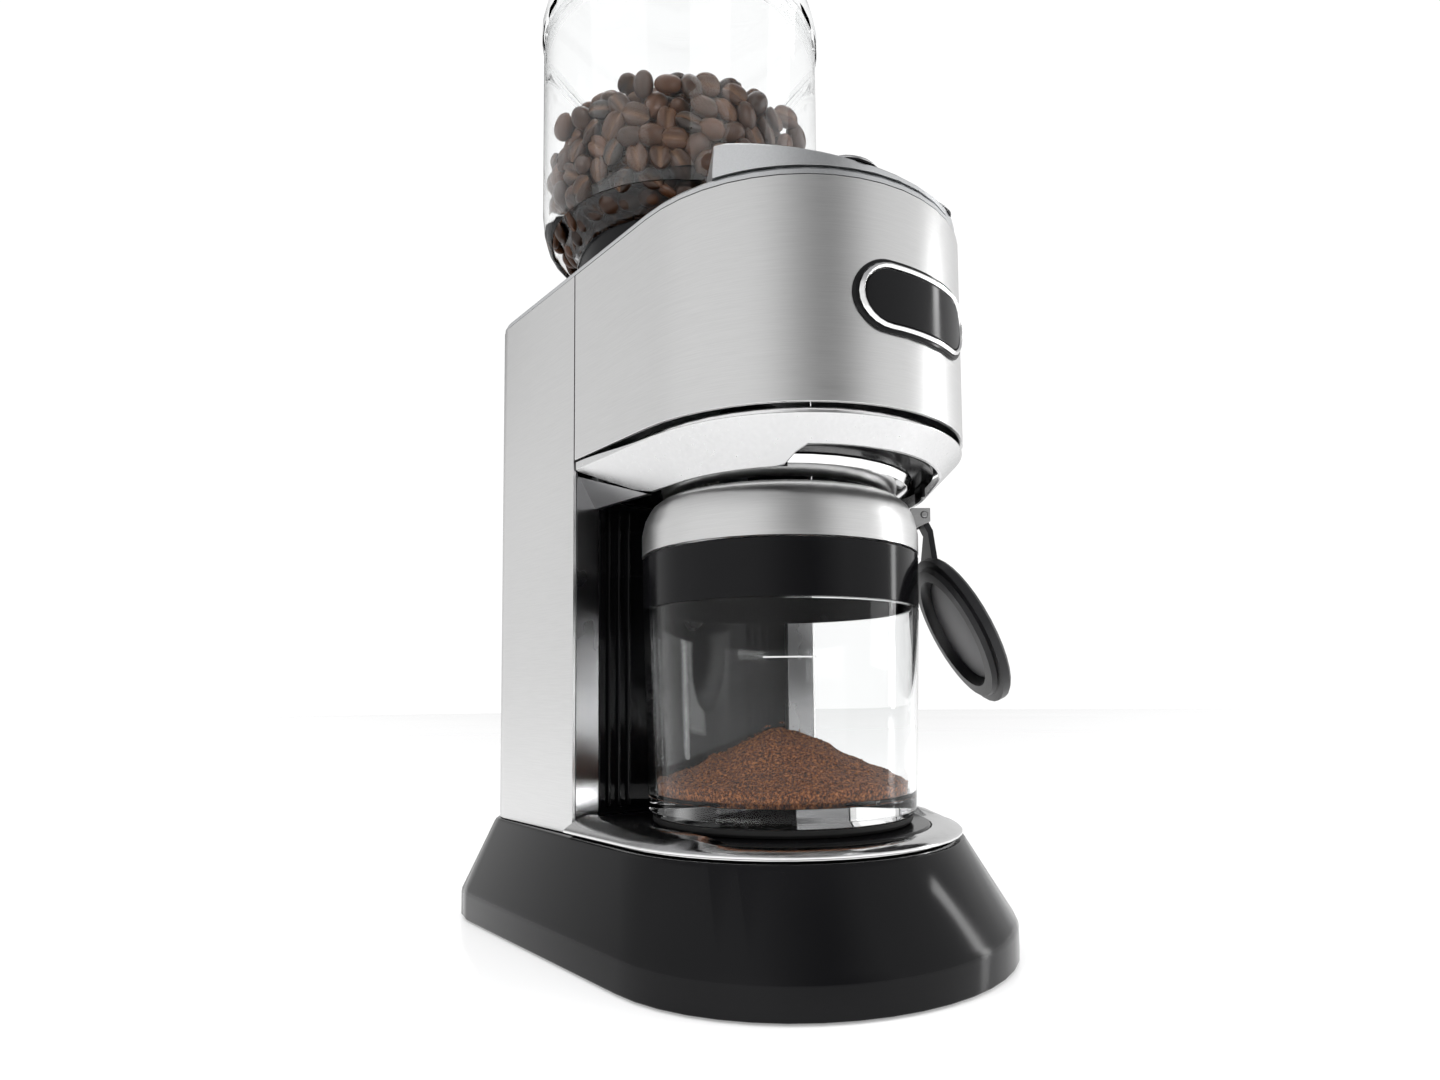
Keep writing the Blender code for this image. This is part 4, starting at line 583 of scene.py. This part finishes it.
def make_beans():
    centres = settle_beans()
    outward = np.sqrt((centres[:, :2] ** 2).sum(axis=1))
    gap = bean_wall(centres[:, 2]) - outward
    random.seed(11)
    sections, creased = bean_sections()
    around = BEAN_AROUND
    points = []
    faces = []
    tones = []
    marks = []
    for centre, wall_gap in zip(centres, gap):
        place = Vector(centre) + Vector((HOPPER_AXIS.x, HOPPER_AXIS.y, 0))
        turn = Matrix.Rotation(random.uniform(0, TAU), 3, "Z")
        turn = turn @ Matrix.Rotation(random.uniform(-0.7, 0.7), 3, "X")
        if wall_gap < 8 * MM:
            facing = Vector((centre[0], centre[1], 0)).normalized()
            lean = facing + Vector([random.uniform(-0.35, 0.35) for _ in range(3)])
            if random.random() < 0.55:
                lean = -lean
            turn = lean.to_track_quat("Z", "Y").to_matrix() @ Matrix.Rotation(random.uniform(0, TAU), 3, "Z")
        elif random.random() < 0.5:
            turn = turn @ Matrix.Rotation(math.pi, 3, "X")
        size = random.uniform(0.88, 1.06)
        tone = random.random()
        start = len(points)
        for ring, ring_marks in zip(sections, creased):
            for point, mark in zip(ring, ring_marks):
                points.append(place + turn @ (size * point))
                tones.append(tone)
                marks.append(mark)
        for i in range(len(sections) - 1):
            for k in range(around):
                a = start + i * around + k
                b = start + i * around + (k + 1) % around
                faces.append((a, b, b + around, a + around))
        faces.append(tuple(start + k for k in range(around))[::-1])
        last = start + (len(sections) - 1) * around
        faces.append(tuple(last + k for k in range(around)))
    mesh = bpy.data.meshes.new("coffee_beans")
    mesh.from_pydata(points, [], faces)
    for name, values in (("tone", tones), ("crease", marks)):
        layer = mesh.attributes.new(name, "FLOAT", "POINT")
        layer.data.foreach_set("value", values)
    mesh.shade_smooth()
    mesh.materials.append(MATERIALS["coffee_bean"])
    beans = bpy.data.objects.new("coffee_beans", mesh)
    bpy.context.scene.collection.objects.link(beans)
    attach(beans, "hopper")
    make_bean_core()


def make_bean_core():
    """The heart of the pile, dark between the outer beans."""
    low = BEAN_FLOOR - 2 * MM
    bottom = FUNNEL_HIGH.z - 11 * MM
    profile = [
        (0.2 * MM, low),
        (CORE_RADIUS - 8 * MM, low),
        (CORE_RADIUS - 3 * MM, bottom),
        (CORE_RADIUS + 1 * MM, bottom + 10 * MM),
        (CORE_RADIUS + 1 * MM, CORE_TOP - 6 * MM),
        (CORE_RADIUS - 4 * MM, CORE_TOP - 1 * MM),
        (0.2 * MM, CORE_TOP - 1 * MM),
    ]
    rings = []
    for radius, z in profile:
        rings.append([ring_point(HOPPER_AXIS, radius, TAU * i / 40, z) for i in range(40)])
    piece("bean_pile_core", loft(rings), "matt_black", "hopper", "coffee_bean")


def ring_point(axis, radius, turn, z):
    return Vector((axis.x + radius * math.cos(turn), axis.y + radius * math.sin(turn), z))


def smooth_noise(x, y, seed):
    """A cheap repeatable unevenness between -1 and 1."""
    value = math.sin(x * 1.7 + seed) * math.cos(y * 2.3 - seed * 0.7)
    value += 0.5 * math.sin(x * 4.1 - y * 3.3 + seed * 2.1)
    value += 0.25 * math.cos(x * 9.7 + y * 8.1 + seed)
    return value / 1.75


HEAP_EDGE = 5.5 * MM
HEAP_RISE = 21 * MM
HEAP_CURVE = 1.25
HEAP_SWELL = 1.1 * MM
HEAP_SWELL_SIZE = 9 * MM
CRUMB_COUNT = 520


def heap_height(slope):
    """The height of the heap, where slope runs from 0 at the wall to 1 at the middle."""
    return HEAP_EDGE + HEAP_RISE * slope**HEAP_CURVE


def heap_swell(x, y):
    return HEAP_SWELL * smooth_noise(x / HEAP_SWELL_SIZE, y / HEAP_SWELL_SIZE, 2.0)


def make_grounds():
    """The heap of ground coffee: a low cone that meets the wall, with a crumbly surface."""
    floor_z = JAR_LOW.z + JAR_FLOOR + 0.3 * MM
    steps = 56
    around = 144
    rng = np.random.default_rng(3)
    rings = []
    wall = JAR_INSIDE - 3.2 * MM
    for i in range(steps):
        share = i / (steps - 1)
        radius = max(wall * (1 - share), 0.4 * MM)
        ring = []
        for k in range(around):
            turn = TAU * k / around
            slope = 1 - (radius / wall)
            height = heap_height(slope) - 5 * MM * math.exp(-((radius / (8 * MM)) ** 2)) * 0.4
            x = radius * math.cos(turn)
            y = radius * math.sin(turn)
            height += heap_swell(x, y)
            height += 0.45 * MM * (rng.random() - 0.5) * (1 if i < steps - 1 else 0)
            height += 1.5 * MM * math.cos(turn + 0.6) * share * (1 - share)
            ring.append(ring_point(JAR_AXIS, radius, turn, floor_z + height))
        rings.append(ring)
    base = [ring_point(JAR_AXIS, wall - 0.6 * MM, TAU * k / around, floor_z) for k in range(around)]
    piece("ground_coffee", loft([base] + rings), "matt_black", "grounds_container", "ground_coffee", 180)
    crumbs = bmesh.new()
    for _ in range(CRUMB_COUNT):
        radius = wall * math.sqrt(rng.random()) * 0.98
        turn = TAU * rng.random()
        slope = 1 - radius / wall
        x = radius * math.cos(turn)
        y = radius * math.sin(turn)
        z = floor_z + heap_height(slope) + 0.2 * MM + heap_swell(x, y)
        size = (0.25 + 0.45 * rng.random() ** 2) * MM
        place = Matrix.Translation((JAR_AXIS.x + x, JAR_AXIS.y + y, z))
        turned = Matrix.Rotation(TAU * rng.random(), 4, "Z") @ Matrix.Rotation(TAU * rng.random(), 4, "X")
        stretch = Matrix.Diagonal((size, 0.7 * size, 0.8 * size, 1))
        bmesh.ops.create_icosphere(crumbs, subdivisions=1, radius=1, matrix=place @ turned @ stretch)
    piece("coffee_crumbs", crumbs, "matt_black", "grounds_container", "ground_coffee", 60)


# Small details


FILL_HEIGHT = 53.9 * MM
FILL_PROUD = 0.4 * MM
FILL_START = -138.9
FILL_SPAN = 19.2
FILL_SECTION = ((-0.2, -0.25), (0.03, -0.25), (0.03, 0.25), (-0.2, 0.25))
JAR_TAPER = 2.1 * MM


def make_fill_line():
    """A plain fill line printed round part of the container's front."""
    z = JAR_LOW.z + FILL_HEIGHT
    share = (z - JAR_LOW.z) / (JAR_HIGH.z - JAR_LOW.z)
    outer = (JAR_HIGH.x - JAR_LOW.x) / 2
    radius = outer - JAR_TAPER * (1 - share) + FILL_PROUD
    sections = []
    for i in range(19):
        turn = math.radians(FILL_START + FILL_SPAN * i / 18)
        section = []
        for away, rise in FILL_SECTION:
            section.append(ring_point(JAR_AXIS, radius + away * MM, turn, z + rise * MM))
        sections.append(section)
    piece("fill_line", loft(sections), "clear_plastic", "grounds_container", "white_print")


def slope_matrix(node):
    """A frame on the sloping top of a key, with its local Z out of the key."""
    low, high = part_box(node)
    centre = (low + high) / 2
    axis = next(Vector(j["axis"]) for j in frame["joints"] if j["child"] == node.replace("_button", "_key"))
    normal = -axis.normalized()
    size = high - low
    tall = (size.z * normal.z - size.y * abs(normal.y)) / (normal.z**2 - normal.y**2)
    turned = Matrix(((1, 0, 0), (0, normal.z, normal.y), (0, -normal.y, normal.z))).to_4x4()
    return Matrix.Translation(centre + normal * 0.5 * tall) @ turned


def extruded(outline, depth, place):
    low = [place @ Vector((x * MM, y * MM, -0.3 * MM)) for x, y in outline]
    high = [place @ Vector((x * MM, y * MM, depth)) for x, y in outline]
    return loft([low, high])


MARK_HEIGHT = 0.06 * MM
HALF_PLUS = ((-1.5, -0.3), (-0.3, -0.3), (-0.3, -1.5), (0.3, -1.5), (0.3, -0.3), (1.5, -0.3))
KEY_MARKS = {
    "start": ((-2.0, -2.6), (2.6, 0.0), (-2.0, 2.6)),
    "select": ((-2.0, -2.0), (2.0, -2.0), (2.0, 2.0), (-2.0, 2.0)),
    "minus": ((-1.5, -0.3), (1.5, -0.3), (1.5, 0.3), (-1.5, 0.3)),
    "plus": HALF_PLUS + tuple((-x, -y) for x, y in HALF_PLUS),
}


def make_key_marks():
    """A triangle, a square, a minus and a plus, printed on the keys."""
    for key, outline in KEY_MARKS.items():
        mark = extruded(outline, MARK_HEIGHT, slope_matrix(key + "_button"))
        piece(key + "_mark", mark, "gloss_black", key + "_key", "dark_print")


def place_ring(place, inner, outer, low, high):
    """A flat ring with a rounded top, square to a local frame."""
    profile = [(inner, low), (outer, low), (outer, high - 0.1 * MM), (outer - 0.15 * MM, high)]
    profile += [(inner + 0.15 * MM, high), (inner, high - 0.1 * MM)]
    loops = []
    for radius, level in profile:
        turns = [TAU * i / 56 for i in range(56)]
        loops.append([place @ Vector((radius * math.cos(t), radius * math.sin(t), level)) for t in turns])
    return loft(loops, closed=True)


def make_key_surrounds():
    """A thin dark ring round each key, on the control panel."""
    for key in ("start", "select", "minus", "plus"):
        place = slope_matrix(key + "_button")
        low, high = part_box(key + "_button")
        radius = (high.x - low.x) / 2
        width = 1.3 * MM if radius > 5 * MM else 0.8 * MM
        inner = radius + 0.36 * MM
        ring = place_ring(place, inner, radius + width, -KEY_PROUD - 0.3 * MM, 0.35 * MM - KEY_PROUD)
        piece(key + "_surround", ring, "gloss_black", "grinder_body")


def make_display_bars():
    """A generic row of bars of rising height, lit behind the window."""
    low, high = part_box("display_window")
    key = slope_matrix("start_button")
    turn = key.to_3x3()
    centre = (low + high) / 2 + turn @ Vector((0, 0, 0.5 * DISPLAY_DEPTH))
    bars = bmesh.new()
    for i in range(5):
        tall = (1.4 + 0.8 * i) * MM
        x = (i - 2) * 2.4 * MM
        size = Matrix.Diagonal((1.3 * MM, tall, 0.1 * MM, 1))
        shift = Matrix.Translation((x, 0.5 * tall - 2.3 * MM, 0.03 * MM))
        bmesh.ops.create_cube(bars, size=1, matrix=Matrix.Translation(centre) @ turn.to_4x4() @ shift @ size)
    piece("display_bars", bars, "gloss_black", "grinder_body", "lit_display")


def front_ellipse(inset):
    """Half widths and centre of the head's rounded front, in plan."""
    low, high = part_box("head_wrap")
    return high.x - inset, FRONT_NOSE - inset, low.y + FRONT_NOSE


def on_front(x, proud):
    half, nose, centre = front_ellipse(-proud)
    return centre - nose * math.sqrt(1 - (x / half) ** 2)


SURROUND_SECTION = ((0.15, 0.1), (1.25, 0.1), (1.25, 0.5), (0.9, 0.95), (0.15, 0.95))


def make_badge_surround():
    """A dark edge round the badge's bright rim."""
    low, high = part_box("badge_rim")
    middle_z = (low.z + high.z) / 2
    radius = (high.z - low.z) / 2
    straight = (high.x - low.x) / 2 - radius
    outline = []
    for i in range(25):
        outline.append((straight, math.radians(-90 + 7.5 * i)))
    outline += [(straight * (1 - i / 8), math.pi / 2) for i in range(1, 16)]
    outline += [(-x, t + math.pi) for x, t in outline]
    loops = []
    for grow, proud in SURROUND_SECTION:
        r = radius + grow * MM
        loop = []
        for x, t in outline:
            px = x + r * math.cos(t)
            loop.append(Vector((px, on_front(px, proud * MM), middle_z + r * math.sin(t))))
        loops.append(loop)
    piece("badge_surround", loft(loops, closed=True), "gloss_black", "grinder_body")


NOTCH_INSET = 13 * MM
NOTCH_START = 44
NOTCH_SECTION = ((0, 0.5), (1.2, 0.3), (1.2, 5.2), (0, 5.2))


def make_notch():
    """The dark returns behind both ends of the front cut-out in the bevel."""
    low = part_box("bevel_ring")[0].z
    half, nose, centre = front_ellipse(NOTCH_INSET)
    for side, name in ((-1, "notch_return_left"), (1, "notch_return_right")):
        sections = []
        for i in range(13):
            t = math.radians(NOTCH_START + i)
            section = []
            for inner, rise in NOTCH_SECTION:
                x = side * (half - inner * MM) * math.sin(t)
                y = centre - (nose - inner * MM) * math.cos(t)
                section.append(Vector((x, y, low + rise * MM)))
            sections.append(section)
        piece(name, loft(sections), "gloss_black", "grinder_body")


RIB_PLACES = (4, 8.5, 13, 17.5)
RIB_HALF_WIDTH = 0.9 * MM
RIB_DEPTH = 1.3 * MM
RIB_END = 3 * MM


def make_cavity_ribs():
    """Upright ribs on the wall behind the container, on both sides of it."""
    low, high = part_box("cavity_wall")
    for side, name in ((-1, "cavity_ribs_left"), (1, "cavity_ribs_right")):
        ribs = bmesh.new()
        for from_side in RIB_PLACES:
            x = side * (high.x - 2 * MM - from_side * MM)
            rib = []
            for turn in range(9):
                a = math.pi * turn / 8
                rib.append((x + RIB_HALF_WIDTH * math.cos(a), high.y - 2.2 * MM - RIB_DEPTH * math.sin(a)))
            loops = [[Vector((px, py, z)) for px, py in rib] for z in (low.z + RIB_END, high.z - RIB_END)]
            part = loft(loops)
            mesh = bpy.data.meshes.new("rib")
            part.to_mesh(mesh)
            part.free()
            ribs.from_mesh(mesh)
            bpy.data.meshes.remove(mesh)
        piece(name, ribs, "gloss_black", "grinder_body")


SCREW_PLACES = {
    "rear_right": (3.5, -10.5),
    "rear_left": (-3.5, -10.5),
    "front_right": (-1.2, 12.5),
    "front_left": (1.2, 12.5),
}
SCREW_PROFILE = ((0.05, -0.35), (1.9, -0.45), (2.6, 0.0), (2.6, 0.9), (1.2, 1.4), (0.05, 1.4))


def make_base_screws():
    """Cross-head screws up through the floor plate, beside the feet."""
    plate_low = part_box("floor_plate")[0].z
    for name, (dx, dy) in SCREW_PLACES.items():
        centre = middle("foot_" + name) + Vector((dx, dy, 0)) * MM
        rings = []
        for radius, rise in SCREW_PROFILE:
            ring = []
            for i in range(32):
                a = TAU * i / 32
                dent = 0.45 if radius < 1.95 and i % 8 < 2 and rise < 0 else 0.0
                ring.append(ring_point(centre, radius * MM, a, plate_low + (rise + dent) * MM))
            rings.append(ring)
        piece("base_screw_" + name, loft(rings), "plain_steel", "grinder_body")


def main():
    make_camera()
    make_studio()
    dress_nodes()
    make_beans()
    make_grounds()
    make_fill_line()
    make_key_marks()
    make_key_surrounds()
    make_display_bars()
    make_badge_surround()
    make_notch()
    make_cavity_ribs()
    make_base_screws()


MATERIALS = make_materials()
main()
